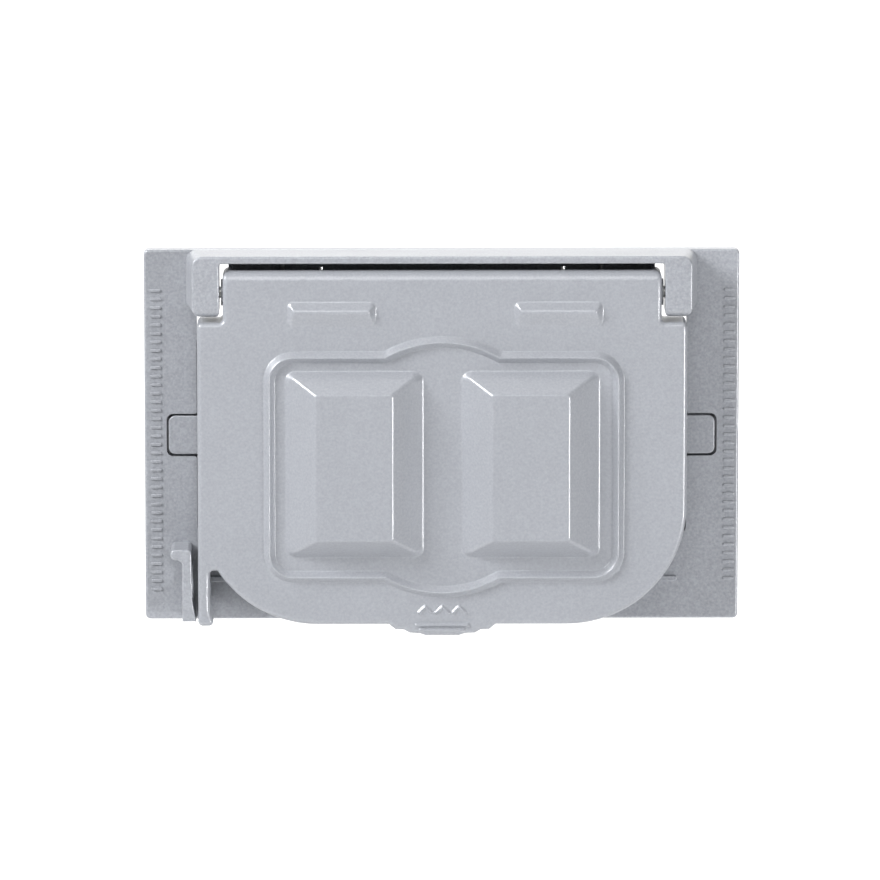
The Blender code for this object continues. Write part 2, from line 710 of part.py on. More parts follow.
def make_lid_relief(cutters):
    """Pads, bead and spring bulges on the lid's face."""
    pieces = []
    for side in (-1, 1):
        centre = (side * PAD_CENTRE_X, PAD_CENTRE_Z)
        pad = frustum(f"pad_{side}", centre, PAD_BASE, PAD_TOP, LID_FRONT, LID_FRONT + PAD_HEIGHT, cutters)
        round_edges(pad, PAD_EDGE_ROUND)
        pieces.append(pad)
    for centre in BULGE_CENTRES_X:
        ramp = rounded([
            (LID_FRONT - 1, BULGE_TOP, 0),
            (LID_FRONT, BULGE_TOP, 0),
            (LID_FRONT + BULGE_HEIGHT, BULGE_RIDGE, 0.8),
            (LID_FRONT, BULGE_BOTTOM, 0),
            (LID_FRONT - 1, BULGE_BOTTOM, 0),
        ])
        left = centre - BULGE_LENGTH / 2
        pieces.append(prism(f"bulge_{centre}", ramp, left, left + BULGE_LENGTH, cutters, "side"))
    path = [(x, LID_FRONT - BEAD_SUNK, z) for x, z in bead_path()]
    bead = wire("bead", path, BEAD_RADIUS, cutters, closed=True)
    whole_lid = rectangle(-LID_HALF_WIDTH, LID_BOTTOM, LID_HALF_WIDTH, LID_TOP)
    combine(bead, "DIFFERENCE", [prism("behind_bead", whole_lid, 0, LID_FRONT - LID_FACE / 2, cutters)])
    pieces.append(bead)
    return pieces


def make_lid_hinge(cutters):
    """Bosses at the ends of the lid and webs beside each spring, all on the pin."""
    pieces = []
    web_places = {"inner": SPRING_INNER_X - WEB_GAP - WEB_THICKNESS, "outer": SPRING_OUTER_X + WEB_GAP}
    for side in (-1, 1):
        ends = sorted((side * (LID_NECK_HALF_WIDTH - 1), side * (BLOCK_INNER - GAP)))
        pieces.append(cylinder_x(f"boss_{side}", PIN_DEPTH, PIN_Z, BOSS_RADIUS, *ends, cutters))
        for place, x in web_places.items():
            left, right = sorted((side * x, side * (x + WEB_THICKNESS)))
            web = rounded([
                (PIN_DEPTH - WEB_BACK, PIN_Z + WEB_RISE, WEB_CORNER),
                (LID_FRONT - LID_FACE / 2, PIN_Z + WEB_RISE, 0),
                (LID_FRONT - LID_FACE / 2, PIN_Z - WEB_DROP, 0),
                (PIN_DEPTH - WEB_BACK, PIN_Z - WEB_DROP, WEB_CORNER),
            ])
            pieces.append(prism(f"web_{place}_{side}", web, left, right, cutters, "side"))
    return pieces


def make_lid(parts, cutters):
    lid = prism("lid", lid_outline(), LID_BACK, LID_FRONT, parts)
    round_edges(lid, LID_EDGE_ROUND, 2, at_depth(LID_FRONT))
    half_plate = PLATE_WIDTH / 2
    side_profile = prism("lid_side", lid_side_outline(), -half_plate, half_plate, cutters, "side")
    combine(lid, "INTERSECT", [side_profile])
    face_back = LID_FRONT - LID_FACE
    hollow = prism("lid_hollow", lid_inner_outline(), 0, face_back, cutters)
    neck = LID_NECK_HALF_WIDTH - LID_WALL
    above_lip = rectangle(-neck, LID_TOP - LID_LIP_HEIGHT, neck, LID_TOP + 2)
    top_opening = prism("lid_top_opening", above_lip, 0, LID_FRONT - LID_TOP_ROUND, cutters)
    behind_tab = rectangle(-TAB_RELIEF_HALF_WIDTH, LID_BOTTOM - 5, TAB_RELIEF_HALF_WIDTH, LID_BOTTOM - 0.1)
    tab_relief = prism("tab_relief", behind_tab, 0, TAB_BACK, cutters)
    combine(lid, "DIFFERENCE", [hollow, top_opening, tab_relief])
    combine(lid, "UNION", make_lid_relief(cutters) + make_lid_hinge(cutters))
    tools = []
    for side in (-1, 1):
        centre = (side * PAD_CENTRE_X, PAD_CENTRE_Z)
        base = (PAD_BASE[0] - 2 * LID_FACE, PAD_BASE[1] - 2 * LID_FACE)
        top = (PAD_TOP[0] - LID_FACE, PAD_TOP[1] - LID_FACE)
        tools.append(frustum(f"pad_hollow_{side}", centre, base, top, face_back - PAD_HOLLOW_OVERLAP,
                             LID_FRONT + PAD_HEIGHT - LID_FACE, cutters))
    tools.append(cylinder_x("pin_hole_in_lid", PIN_DEPTH, PIN_Z, PIN_HOLE_RADIUS, -BLOCK_INNER, BLOCK_INNER,
                            cutters))
    tools.append(cylinder_x("lock_hole_in_lid", LOCK_HOLE_DEPTH, LOCK_HOLE_Z, LOCK_HOLE_RADIUS,
                            -LID_HALF_WIDTH - 1, LID_EAR_INNER + 0.5, cutters))
    combine(lid, "DIFFERENCE", tools)
    paint(lid, GREY_PAINT, 0.45, 0.3)


def make_lid_gasket(parts, cutters):
    front = LID_FRONT - LID_FACE - GAP
    ring = prism("lid_gasket", lid_inner_outline(GAP, LID_GASKET_TOP), LID_GASKET_BACK, front, parts)
    inner = lid_inner_outline(GAP + LID_GASKET_WIDTH, LID_GASKET_TOP - LID_GASKET_WIDTH)
    combine(ring, "DIFFERENCE", [prism("lid_gasket_opening", inner, 0, LID_FRONT, cutters)])
    paint(ring, BLACK_FOAM, 0.9)


# ---------------------------------------------------------------- pin and springs

def make_hinge_pin(parts):
    half = WINDOW_OUTER - GAP
    chamfer = 0.3
    profile = [(0, half), (PIN_RADIUS - chamfer, half), (PIN_RADIUS, half - chamfer),
               (PIN_RADIUS, chamfer - half), (PIN_RADIUS - chamfer, -half), (0, -half)]
    pin = turned("hinge_pin", profile, (0, -PIN_DEPTH, PIN_Z), (0, math.pi / 2, 0), parts)
    shade_round(pin)
    paint(pin, BARE_STEEL, 0.4, 0.9)


def spring_points(side):
    """Fixed leg down the plate, the coil round the pin, and a free leg up behind the lid's lip."""
    outer = side * SPRING_OUTER_X
    inner = side * SPRING_INNER_X
    on_plate = PLATE_FRONT + GAP + SPRING_WIRE / 2
    behind_lip = LID_FRONT - LID_TOP_ROUND - GAP - SPRING_WIRE / 2
    bend_centre = (on_plate + SPRING_BEND, PIN_Z - SPRING_RADIUS + SPRING_BEND)
    points = [(outer, on_plate, FIXED_LEG_TOP)]
    for depth, z in arc(bend_centre, SPRING_BEND, math.pi, math.pi / 2):
        points.append((outer, depth, z))
    count = round(SPRING_TURNS * SPRING_STEPS)
    for i in range(count + 1):
        angle = 1.5 * math.pi + math.tau * SPRING_TURNS * i / count
        x = outer + (inner - outer) * i / count
        depth = PIN_DEPTH + SPRING_RADIUS * math.cos(angle)
        points.append((x, depth, PIN_Z + SPRING_RADIUS * math.sin(angle)))
    points.append((inner, behind_lip, FREE_LEG_BEND_Z))
    points.append((inner, behind_lip, FREE_LEG_TOP))
    return points


def make_spring(name, side, parts):
    spring = wire(name, spring_points(side), SPRING_WIRE / 2, parts)
    shade_round(spring)
    paint(spring, BARE_STEEL, 0.3, 0.9)


def main():
    for item in list(bpy.data.objects):
        bpy.data.objects.remove(item)
    parts = new_collection("weatherproof_outlet_cover")
    cutters = new_collection("cutters")
    make_wall_gasket(parts, cutters)
    make_device_gasket(parts, cutters)
    make_base_plate(parts, cutters)
    make_adapter_plate(parts, cutters)
    make_lid(parts, cutters)
    make_lid_gasket(parts, cutters)
    make_hinge_pin(parts)
    make_spring("lid_spring_left", -1, parts)
    make_spring("lid_spring_right", 1, parts)
    lengths = {"box_screw_left": BOX_SCREW_LENGTH, "box_screw_right": BOX_SCREW_LENGTH,
               "device_screw": DEVICE_SCREW_LENGTH}
    retainers = {"box_screw_left": "screw_retainer_left", "box_screw_right": "screw_retainer_right",
                 "device_screw": "screw_retainer_centre"}
    for name, x in screw_places().items():
        make_screw(name, x, lengths[name], parts, cutters)
        make_retainer(retainers[name], x, parts)


main()
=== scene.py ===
"""Looks for a horizontal weatherproof outlet cover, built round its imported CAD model.

The frame is the CAD's: +X is right and +Z is up, as seen from the front, and the
cover stands out from the wall towards -Y.  Shapes are written in millimetres as
(x, depth, z), where a depth is a distance out from the wall.
"""

import math

import bmesh
import bpy
import numpy as np
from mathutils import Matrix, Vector
from mathutils.geometry import delaunay_2d_cdt


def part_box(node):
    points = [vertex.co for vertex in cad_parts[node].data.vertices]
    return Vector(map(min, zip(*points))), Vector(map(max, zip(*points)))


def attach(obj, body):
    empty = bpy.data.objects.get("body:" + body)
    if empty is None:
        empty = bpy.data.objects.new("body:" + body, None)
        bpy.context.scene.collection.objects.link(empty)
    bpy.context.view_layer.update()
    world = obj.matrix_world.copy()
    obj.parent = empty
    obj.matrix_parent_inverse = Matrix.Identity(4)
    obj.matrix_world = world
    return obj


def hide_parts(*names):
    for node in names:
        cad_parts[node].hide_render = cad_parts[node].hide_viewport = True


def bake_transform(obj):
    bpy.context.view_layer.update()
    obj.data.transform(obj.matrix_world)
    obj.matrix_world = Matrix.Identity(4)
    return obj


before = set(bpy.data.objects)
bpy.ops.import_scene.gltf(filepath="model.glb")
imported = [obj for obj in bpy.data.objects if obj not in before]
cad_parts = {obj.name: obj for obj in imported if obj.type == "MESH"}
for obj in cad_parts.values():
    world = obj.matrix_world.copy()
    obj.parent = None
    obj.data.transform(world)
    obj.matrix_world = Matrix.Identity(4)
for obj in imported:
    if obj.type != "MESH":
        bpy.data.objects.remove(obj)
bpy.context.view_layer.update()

MM = 0.001


def box_mm(node):
    low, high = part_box(node)
    return low / MM, high / MM


# ---- sizes, from the CAD nodes

plate_low, plate_high = box_mm("base_plate")
lid_low, lid_high = box_mm("lid")
adapter_low, adapter_high = box_mm("adapter_plate")
gasket_low, _ = box_mm("wall_gasket")
seal_low, seal_high = box_mm("lid_gasket")
pin_low, pin_high = box_mm("hinge_pin")

GAP = 0.3                      # between pieces that touch

# Wall plate
PLATE_HALF_WIDTH = plate_high.x
PLATE_HALF_HEIGHT = plate_high.z
PLATE_BACK = -plate_high.y
HOOD_FRONT = -plate_low.y
PLATE_FRONT = -adapter_low.y
PLATE_CORNER = 1.0
PLATE_EDGE_ROUND = 0.5

# Hinge pin
PIN_DEPTH = -(pin_low.y + pin_high.y) / 2
PIN_Z = (pin_low.z + pin_high.z) / 2
PIN_RADIUS = (pin_high.z - pin_low.z) / 2
PIN_HALF_LENGTH = pin_high.x
PIN_HOLE_RADIUS = PIN_RADIUS + GAP

# Hood and hinge blocks, with a window in the plate behind each block
HOOD_TOP = 36.45
HOOD_ROOF = 1.5
HOOD_HALF_WIDTH = 49.9
HOOD_DRAFT = 1.4               # how much narrower each end is at the front
HOOD_CORNER = 2.0
HOOD_EDGE_ROUND = 0.45
BLOCK_INNER = 43.15
BLOCK_BOTTOM = 24.5
BLOCK_WALL = 1.65
BLOCK_EDGE_ROUND = 1.8
WINDOW_INNER = 41.5
WINDOW_OUTER = 47.7
WINDOW_BOTTOM = 20.9
WINDOW_TOP = 34.3
WINDOW_CORNER = 0.6

# Raised marks down both ends of the plate
MARK_COLUMNS = ((-55.75, -30.5), (56.1, -28.5))     # place across, and lower end
MARKS_TOP = 28.5
MARK_SPACING = 1.7
MARK_SIZE = (2.2, 0.6)
MARK_HEIGHT = 0.25

# Lid
PAD_HEIGHT = 4.8
LID_FRONT = -lid_low.y - PAD_HEIGHT
LID_BACK = -lid_high.y
LID_TOP = lid_high.z
LID_HALF_WIDTH = lid_high.x
TAB_DROP = 2.25
LID_BOTTOM = lid_low.z + TAB_DROP
LID_WALL = 1.8
LID_FACE = 1.6
LID_TOP_ROUND = 2.0
LID_PROFILE_REACH = 60.0       # its side profile is cut out this far to each side, past both edges
LID_LIP_HEIGHT = 3.0           # the lid's top is open behind its lip, down to this far below the edge
LID_NECK_HALF_WIDTH = 42.5     # between the hinge blocks
LID_NECK_CORNER = 1.4
LID_SHOULDER = 23.5
LID_CORNER = 23.3
LID_EDGE_ROUND = 0.9
KNUCKLE_RADIUS = 5.3           # back of the lid's hinge cheeks, round the pin
BOSS_RADIUS = 2.6
TAB_BACK = 12.4
TAB_RELIEF_HALF_WIDTH = 12.0

# Raised work on the lid; a softness is a share of the shape's own height
PAD_CENTRE_X = 17.1
PAD_CENTRE_Z = -4.2
PAD_BASE = (26.8, 36.5)
PAD_TOP = (14.9, 28.6)
PAD_SLOPE = ((PAD_BASE[0] - PAD_TOP[0]) / 2, (PAD_BASE[1] - PAD_TOP[1]) / 2)
PAD_SOFTNESS = 0.045
PAD_HIP_ROUND = 0.16
PAD_CORNER = 0.4
PAD_HOLLOW_OVERLAP = 0.2
BEAD_LEFT = -33.6
BEAD_RIGHT = 34.15
BEAD_TOP = 16.8
BEAD_BOTTOM = -26.3
BEAD_CORNER = 4.7
BEAD_BUMP_HALF_WIDTH = 11.1
BEAD_BUMP_RISE = 3.0
BEAD_HEIGHT = 1.15
BEAD_REACH = 1.12              # from its ridge to its foot
BEAD_CREST = 0.15              # radius along its ridge
BEAD_SOFTNESS = 0.12
BULGE_CENTRES_X = (-21.45, 22.55)
BULGE_LENGTH = 17.2
BULGE_TOP = 27.6
BULGE_RIDGE = 25.8
BULGE_BOTTOM = 22.8
BULGE_HEIGHT = 1.4
BULGE_END = 1.5
BULGE_RIDGE_ROUND = 0.45
BULGE_HIP_ROUND = 0.1
BULGE_CORNER = 0.7
BULGE_SOFTNESS = 0.08
CHEVRON_SPACING = 3.3
CHEVRON_HALF_WIDTH = 1.25
CHEVRON_FOOT = -33.4
CHEVRON_TIP = -32.2
CHEVRON_HEIGHT = 0.35
CHEVRON_REACH = 0.45
RIBS = ((5.0, -35.85), (4.2, -36.85))               # on the grip tab: half length and place in Z
RIB_HEIGHT = 0.5
RIB_REACH = 0.5
GRIP_AREA = (-5.6, -37.6, 5.6, -31.6)               # round the chevrons and ribs

# Springs, and the webs beside them
SPRING_WIRE = 0.9
SPRING_RADIUS = PIN_HOLE_RADIUS + SPRING_WIRE / 2
SPRING_TURNS = 6.25
SPRING_OUTER_X = 31.0
SPRING_INNER_X = 23.4
SPRING_BEND = 1.0
FIXED_LEG_TOP = 33.9
FREE_LEG_BEND_Z = 31.6
FREE_LEG_TOP = 34.2
WEB_THICKNESS = 1.4
WEB_GAP = 0.9
WEB_BACK = 3.2                 # behind the pin
WEB_RISE = 2.6                 # above the pin
WEB_DROP = 3.4                 # below the pin
WEB_CORNER = 2.0

# Padlock ears at the lower left
LOCK_HOLE_RADIUS = 3.3
LOCK_HOLE_Z = -28.0
LOCK_HOLE_DEPTH = 10.0
PLATE_EAR_OUTER = -50.6
PLATE_EAR_INNER = -48.6
PLATE_EAR_FRONT = 14.6
PLATE_EAR_TOP = -21.1
PLATE_EAR_BOTTOM = -35.3
PLATE_EAR_LEDGE = 2.3          # how far the ledge stands out to the left
PLATE_EAR_LEDGE_HEIGHT = 2.1
PLATE_EAR_LEAN = 0.2
PLATE_EAR_FOOT = 0.7
PLATE_EAR_FOOT_HEIGHT = 4.0
LID_EAR_INNER = -45.2
LID_EAR_BOTTOM = -36.1
LID_EAR_FOOT = 1.0
LID_EAR_FOOT_HEIGHT = 3.0
LID_NOTCH_TOP = -25.2
LID_NOTCH_INNER = -43.7
LID_NOTCH_RUN = 0.9            # the notch leaves the lid's corner this far below the notch's top

# Adapter plate
ADAPTER_HALF_WIDTH = 47.4
ADAPTER_HALF_HEIGHT = 19.6
ADAPTER_CORNER = 2.0
ADAPTER_FACE = 1.6
ADAPTER_STEP = 1.5
EAR_TIP = adapter_high.x
EAR_HALF_HEIGHT = 3.8
EAR_CORNER = 1.3
EAR_ROOT = 0.5
POCKET_GAP = 0.4
RECEPTACLE_SPACING = 38.4
RECEPTACLE_RADIUS = 17.15
RECEPTACLE_HALF_WIDTH = 14.3

# Screws, their retainers, gaskets and the seat ridge
BOX_SCREW_X = 41.65
SCREW_RADIUS = 1.75
SCREW_HEAD_RADIUS = 3.5
SCREW_HEAD_HEIGHT = 1.75
SCREW_FACE = PLATE_FRONT - 0.1
SCREW_SLOT = (0.9, 0.8)
BOX_SCREW_LENGTH = 19.0
DEVICE_SCREW_LENGTH = 12.7
THREAD_PITCH = 0.79
THREAD_DEPTH = 0.32
RETAINER_RADIUS = 3.6
RETAINER_THICKNESS = 0.8
RETAINER_BACK = 0.4
GASKET_THICKNESS = -gasket_low.y
LID_GASKET_WIDTH = 3.6
RIDGE_Z = -28.5
RIDGE_HEIGHT = 0.5
RIDGE_HALF_WIDTH = 46.0
RIDGE_HALF_THICKNESS = 0.6
SCREWS = {                     # place across, length and retainer
    "box_screw_left": (-BOX_SCREW_X, BOX_SCREW_LENGTH, "screw_retainer_left"),
    "box_screw_right": (BOX_SCREW_X, BOX_SCREW_LENGTH, "screw_retainer_right"),
    "device_screw": (0.0, DEVICE_SCREW_LENGTH, "screw_retainer_centre"),
}


# ---- outlines

def arc(centre, radius, start, sweep):
    step = math.radians(2.5) if radius > 8 else math.radians(10)
    count = max(2, math.ceil(abs(sweep) / step))
    angles = [start + sweep * i / count for i in range(count + 1)]
    return [(centre[0] + radius * math.cos(a), centre[1] + radius * math.sin(a)) for a in angles]


def rounded(corners):
    """Turn (across, up, radius) corners into an outline with an arc at each corner."""
    outline = []
    for i, (across, up, radius) in enumerate(corners):
        here = Vector((across, up))
        if radius == 0:
            outline.append((across, up))
            continue
        before = (Vector(corners[i - 1][:2]) - here).normalized()
        after = (Vector(corners[(i + 1) % len(corners)][:2]) - here).normalized()
        half_angle = before.angle(after) / 2
        centre = here + (before + after).normalized() * (radius / math.sin(half_angle))
        reach = radius / math.tan(half_angle)
        start = here + before * reach - centre
        end = here + after * reach - centre
        sweep = math.atan2(start.x * end.y - start.y * end.x, start.dot(end))
        outline += arc(centre, radius, math.atan2(start.y, start.x), sweep)
    return outline


def mirrored(right_half):
    return right_half + [(-across, up, radius) for across, up, radius in reversed(right_half)]


def rectangle(left, bottom, right, top, radius=0.0):
    corners = [(right, top), (right, bottom), (left, bottom), (left, top)]
    return rounded([(across, up, radius) for across, up in corners])


def circle(centre, radius):
    steps = 48
    angles = [math.tau * i / steps for i in range(steps)]
    return [(centre[0] + radius * math.cos(a), centre[1] + radius * math.sin(a)) for a in angles]


def resampled(outline, spacing):
    """Add points along the long edges of an outline."""
    result = []
    for i in range(len(outline)):
        start = Vector(outline[i])
        end = Vector(outline[(i + 1) % len(outline)])
        parts = max(1, math.ceil((end - start).length / spacing))
        result += [tuple(start.lerp(end, j / parts)) for j in range(parts)]
    return result


def shifted(outline, distance):
    """Move an outline to its right-hand side, which is inwards where it runs clockwise."""
    points = np.array(outline)
    after = np.roll(points, -1, axis=0) - points
    before = points - np.roll(points, 1, axis=0)
    after /= np.linalg.norm(after, axis=1)[:, None]
    before /= np.linalg.norm(before, axis=1)[:, None]
    normal_after = np.stack([after[:, 1], -after[:, 0]], axis=1)
    normal_before = np.stack([before[:, 1], -before[:, 0]], axis=1)
    spread = np.clip(1 + np.sum(normal_after * normal_before, axis=1), 0.5, 2)
    return points + distance * (normal_after + normal_before) / spread[:, None]


# ---- measuring, on arrays of (x, z) points

def path_distance(points, path, closed=False):
    """How far each point is from a path."""
    starts = np.array(path)
    ends = np.roll(starts, -1, axis=0)
    if not closed:
        starts = starts[:-1]
        ends = ends[:-1]
    nearest = np.full(len(points), np.inf)
    for start, step in zip(starts, ends - starts):
        offset = points - start
        along = np.clip(offset @ step / max(step @ step, 1e-12), 0, 1)
        nearest = np.minimum(nearest, np.hypot(*(offset - along[:, None] * step).T))
    return nearest


def is_inside(points, outline):
    inside = np.zeros(len(points), bool)
    starts = np.array(outline)
    for start, end in zip(starts, np.roll(starts, -1, axis=0)):
        if start[1] == end[1]:
            continue
        spans = (start[1] > points[:, 1]) != (end[1] > points[:, 1])
        crossing = start[0] + (points[:, 1] - start[1]) / (end[1] - start[1]) * (end[0] - start[0])
        inside ^= spans & (points[:, 0] < crossing)
    return inside


def soft_ramp(value, reach):
    """0 below zero and the value above it, with a smooth bend between."""
    bend = (value + reach) ** 2 / (4 * reach)
    return np.where(value < -reach, 0.0, np.where(value > reach, value, bend))


def soft_step(value, reach):
    """From 0 to 1 along a straight slope with a fillet at its foot and at its brow."""
    return soft_ramp(value, reach) - soft_ramp(value - 1, reach)


def soft_min(first, second, reach):
    difference = np.abs(first - second)
    softened = np.where(difference > reach, difference, difference ** 2 / (2 * reach) + reach / 2)
    return (first + second - softened) / 2


def edge_drop(distance, radius):
    """How far a rounded edge falls away, at a distance in from the edge."""
    share = np.clip(1 - distance / radius, 0, 1)
    return radius * (1 - np.sqrt(1 - share ** 2))


# ---- building blocks

def linked(name, data):
    item = bpy.data.objects.new(name, data)
    bpy.context.scene.collection.objects.link(item)
    return item


def evaluated_mesh(item):
    """The item's shape after its modifiers or curve settings, as a mesh of its own."""
    bpy.context.view_layer.update()
    return bpy.data.meshes.new_from_object(item.evaluated_get(bpy.context.evaluated_depsgraph_get()))


def skin(work, rings):
    """Join a stack of rings with side faces, and cap both ends."""
    work.faces.new(rings[0])
    work.faces.new(list(reversed(rings[-1])))
    for first, second in zip(rings, rings[1:]):
        for i in range(len(first)):
            j = (i + 1) % len(first)
            work.faces.new((first[i], first[j], second[j], second[i]))


def object_from(name, work):
    """Make an object from a bmesh whose vertices are (x, depth, z) in millimetres."""
    for vert in work.verts:
        x, depth, z = vert.co
        vert.co = (x * MM, -depth * MM, z * MM)
    work.normal_update()
    bmesh.ops.recalc_face_normals(work, faces=work.faces)
    mesh = bpy.data.meshes.new(name)
    work.to_mesh(mesh)
    work.free()
    return linked(name, mesh)


def prism_mesh(outline, low, high, facing="front"):
    """Extrude an outline: facing front it is (x, z) between depths, from the side (depth, z) along X."""
    work = bmesh.new()
    rings = []
    for level in (low, high):
        if facing == "front":
            rings.append([work.verts.new((across, level, up)) for across, up in outline])
        else:
            rings.append([work.verts.new((level, across, up)) for across, up in outline])
    skin(work, rings)
    bmesh.ops.recalc_face_normals(work, faces=work.faces)
    return work


def bevel(work, width, segments, chosen):
    """Round the edges whose two ends both pass the test."""
    edges = [edge for edge in work.edges if chosen(edge.verts[0].co) and chosen(edge.verts[1].co)]
    bmesh.ops.bevel(work, geom=edges, offset=width, segments=segments, profile=0.5, affect="EDGES",
                    clamp_overlap=True)


def at_depth(depth):
    return lambda point: abs(point.y - depth) < 1e-4


def prism(name, outline, low, high, facing="front", front_round=0.0, back_round=0.0, segments=4):
    work = prism_mesh(outline, low, high, facing)
    if front_round:
        bevel(work, front_round, segments, at_depth(high))
    if back_round:
        bevel(work, back_round, segments, at_depth(low))
    return object_from(name, work)


def bar_x(name, depth, z, radius, left, right):
    return prism(name, circle((depth, z), radius), left, right, "side")


def turned(name, profile, centre, axis, ring=False):
    """Turn a (radius, height) profile round an axis: "out" from the wall, or "x"."""
    steps = 64
    work = bmesh.new()
    rings = []
    for radius, height in profile:
        ring_verts = []
        for i in range(steps if radius > 0 else 1):
            angle = math.tau * i / steps
            across = radius * math.cos(angle)
            up = radius * math.sin(angle)
            if axis == "out":
                place = (centre[0] + across, centre[1] + height, centre[2] + up)
            else:
                place = (centre[0] + height, centre[1] + across, centre[2] + up)
            ring_verts.append(work.verts.new(place))
        rings.append(ring_verts)
    if ring:
        rings.append(rings[0])
    for first, second in zip(rings, rings[1:]):
        for i in range(steps):
            j = (i + 1) % steps
            corners = [first[i % len(first)], first[j % len(first)], second[j % len(second)],
                       second[i % len(second)]]
            unique = list(dict.fromkeys(corners))
            if len(unique) > 2:
                work.faces.new(unique)
    return object_from(name, work)


def wire(name, points, radius):
    """A round wire through (x, depth, z) points."""
    curve = bpy.data.curves.new(name, "CURVE")
    curve.dimensions = "3D"
    curve.bevel_depth = radius * MM
    curve.bevel_resolution = 4
    curve.use_fill_caps = True
    spline = curve.splines.new("POLY")
    spline.points.add(len(points) - 1)
    for point, (x, depth, z) in zip(spline.points, points):
        point.co = (x * MM, -depth * MM, z * MM, 1)
    guide = linked(name, curve)
    mesh = evaluated_mesh(guide)
    bpy.data.objects.remove(guide)
    work = bmesh.new()
    work.from_mesh(mesh)
    bmesh.ops.remove_doubles(work, verts=work.verts, dist=1e-6)
    bmesh.ops.recalc_face_normals(work, faces=work.faces)
    work.to_mesh(mesh)
    work.free()
    mesh.name = name
    return linked(name, mesh)


def combine(item, *steps):
    """Apply Boolean steps, each an operation and its tool objects, and remove the tools."""
    used = []
    for operation, tools in steps:
        for tool in tools:
            boolean = item.modifiers.new(tool.name, "BOOLEAN")
            boolean.operation = operation
            boolean.object = tool
            boolean.solver = "EXACT"
            used.append(tool)
    mesh = evaluated_mesh(item)
    item.modifiers.clear()
    item.data = mesh
    for tool in used:
        bpy.data.objects.remove(tool)
    return item


def together(name, items):
    """Several separate solids as one mesh."""
    work = bmesh.new()
    for item in items:
        work.from_mesh(item.data)
        bpy.data.objects.remove(item)
    mesh = bpy.data.meshes.new(name)
    work.to_mesh(mesh)
    work.free()
    return linked(name, mesh)


def complete(item, material, body, nodes):
    """Shade a piece, give it its material, attach it to the body it moves with, and hide the CAD nodes it
    replaces.
    """
    item.data.materials.clear()
    item.data.materials.append(material)
    item.data.shade_smooth()
    item.data.set_sharp_from_angle(angle=math.radians(32))
    normals = item.modifiers.new("normals", "WEIGHTED_NORMAL")
    normals.keep_sharp = True
    if body:
        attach(item, body)
    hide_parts(*nodes)


# ---- materials

def new_material(name, color, roughness, metallic=0.0):
    material = bpy.data.materials.new(name)
    material.use_nodes = True
    shader = material.node_tree.nodes["Principled BSDF"]
    shader.inputs["Base Color"].default_value = (*color, 1.0)
    shader.inputs["Roughness"].default_value = roughness
    shader.inputs["Metallic"].default_value = metallic
    return material, material.node_tree, shader


def add_noise(tree, scale, detail=2.0, stretch=(1, 1, 1)):
    """Noise in object space, where one unit is a metre."""
    place = tree.nodes.new("ShaderNodeTexCoord")
    mapping = tree.nodes.new("ShaderNodeMapping")
    mapping.inputs["Scale"].default_value = stretch
    noise = tree.nodes.new("ShaderNodeTexNoise")
    noise.inputs["Scale"].default_value = scale
    noise.inputs["Detail"].default_value = detail
    tree.links.new(place.outputs["Object"], mapping.inputs["Vector"])
    tree.links.new(mapping.outputs["Vector"], noise.inputs["Vector"])
    return noise.outputs["Fac"]


def spread(tree, value, low, high, start=0.3, end=0.7):
    """Map a noise value from start..end to low..high."""
    ramp = tree.nodes.new("ShaderNodeMapRange")
    ramp.inputs["From Min"].default_value = start
    ramp.inputs["From Max"].default_value = end
    ramp.inputs["To Min"].default_value = low
    ramp.inputs["To Max"].default_value = high
    tree.links.new(value, ramp.inputs["Value"])
    return ramp.outputs["Result"]


def blend_colors(tree, shader, factor, first, second):
    """Colour the material from first to second as the factor goes from 0 to 1."""
    mix = tree.nodes.new("ShaderNodeMix")
    mix.data_type = "RGBA"
    mix.inputs["A"].default_value = (*first, 1.0)
    mix.inputs["B"].default_value = (*second, 1.0)
    tree.links.new(factor, mix.inputs["Factor"])
    tree.links.new(mix.outputs["Result"], shader.inputs["Base Color"])


def add_bump(tree, shader, heights):
    """Chain bumps; each is a height value, a strength and a depth in millimetres."""
    normal = None
    for height, strength, depth in heights:
        bump = tree.nodes.new("ShaderNodeBump")
        bump.inputs["Strength"].default_value = strength
        bump.inputs["Distance"].default_value = depth * MM
        tree.links.new(height, bump.inputs["Height"])
        if normal is not None:
            tree.links.new(normal, bump.inputs["Normal"])
        normal = bump.outputs["Normal"]
    tree.links.new(normal, shader.inputs["Normal"])


PAINT_COLOR = (0.302, 0.314, 0.342)


def make_paint(name, grain):
    """Glossy grey enamel on a zinc casting; grain is how much of the cast surface shows through."""
    material, tree, shader = new_material(name, PAINT_COLOR, 0.42, 0.1)
    shader.inputs["Coat Weight"].default_value = 0.5
    shader.inputs["Coat Roughness"].default_value = 0.12
    speckle = add_noise(tree, 2300, 2.0)
    contrast = 0.05 + 0.04 * grain
    dark = [part * (1 - contrast) for part in PAINT_COLOR]
    light = [part * (1 + contrast) for part in PAINT_COLOR]
    blend_colors(tree, shader, spread(tree, speckle, 0.0, 1.0, 0.25, 0.75), dark, light)
    cloud = add_noise(tree, 90, 3.0)
    tree.links.new(spread(tree, cloud, 0.36, 0.44), shader.inputs["Roughness"])
    peel = add_noise(tree, 420, 1.0)
    add_bump(tree, shader, [(speckle, min(1.0, 0.3 * grain), 0.06), (peel, min(1.0, 0.2 * grain), 0.1)])
    return material


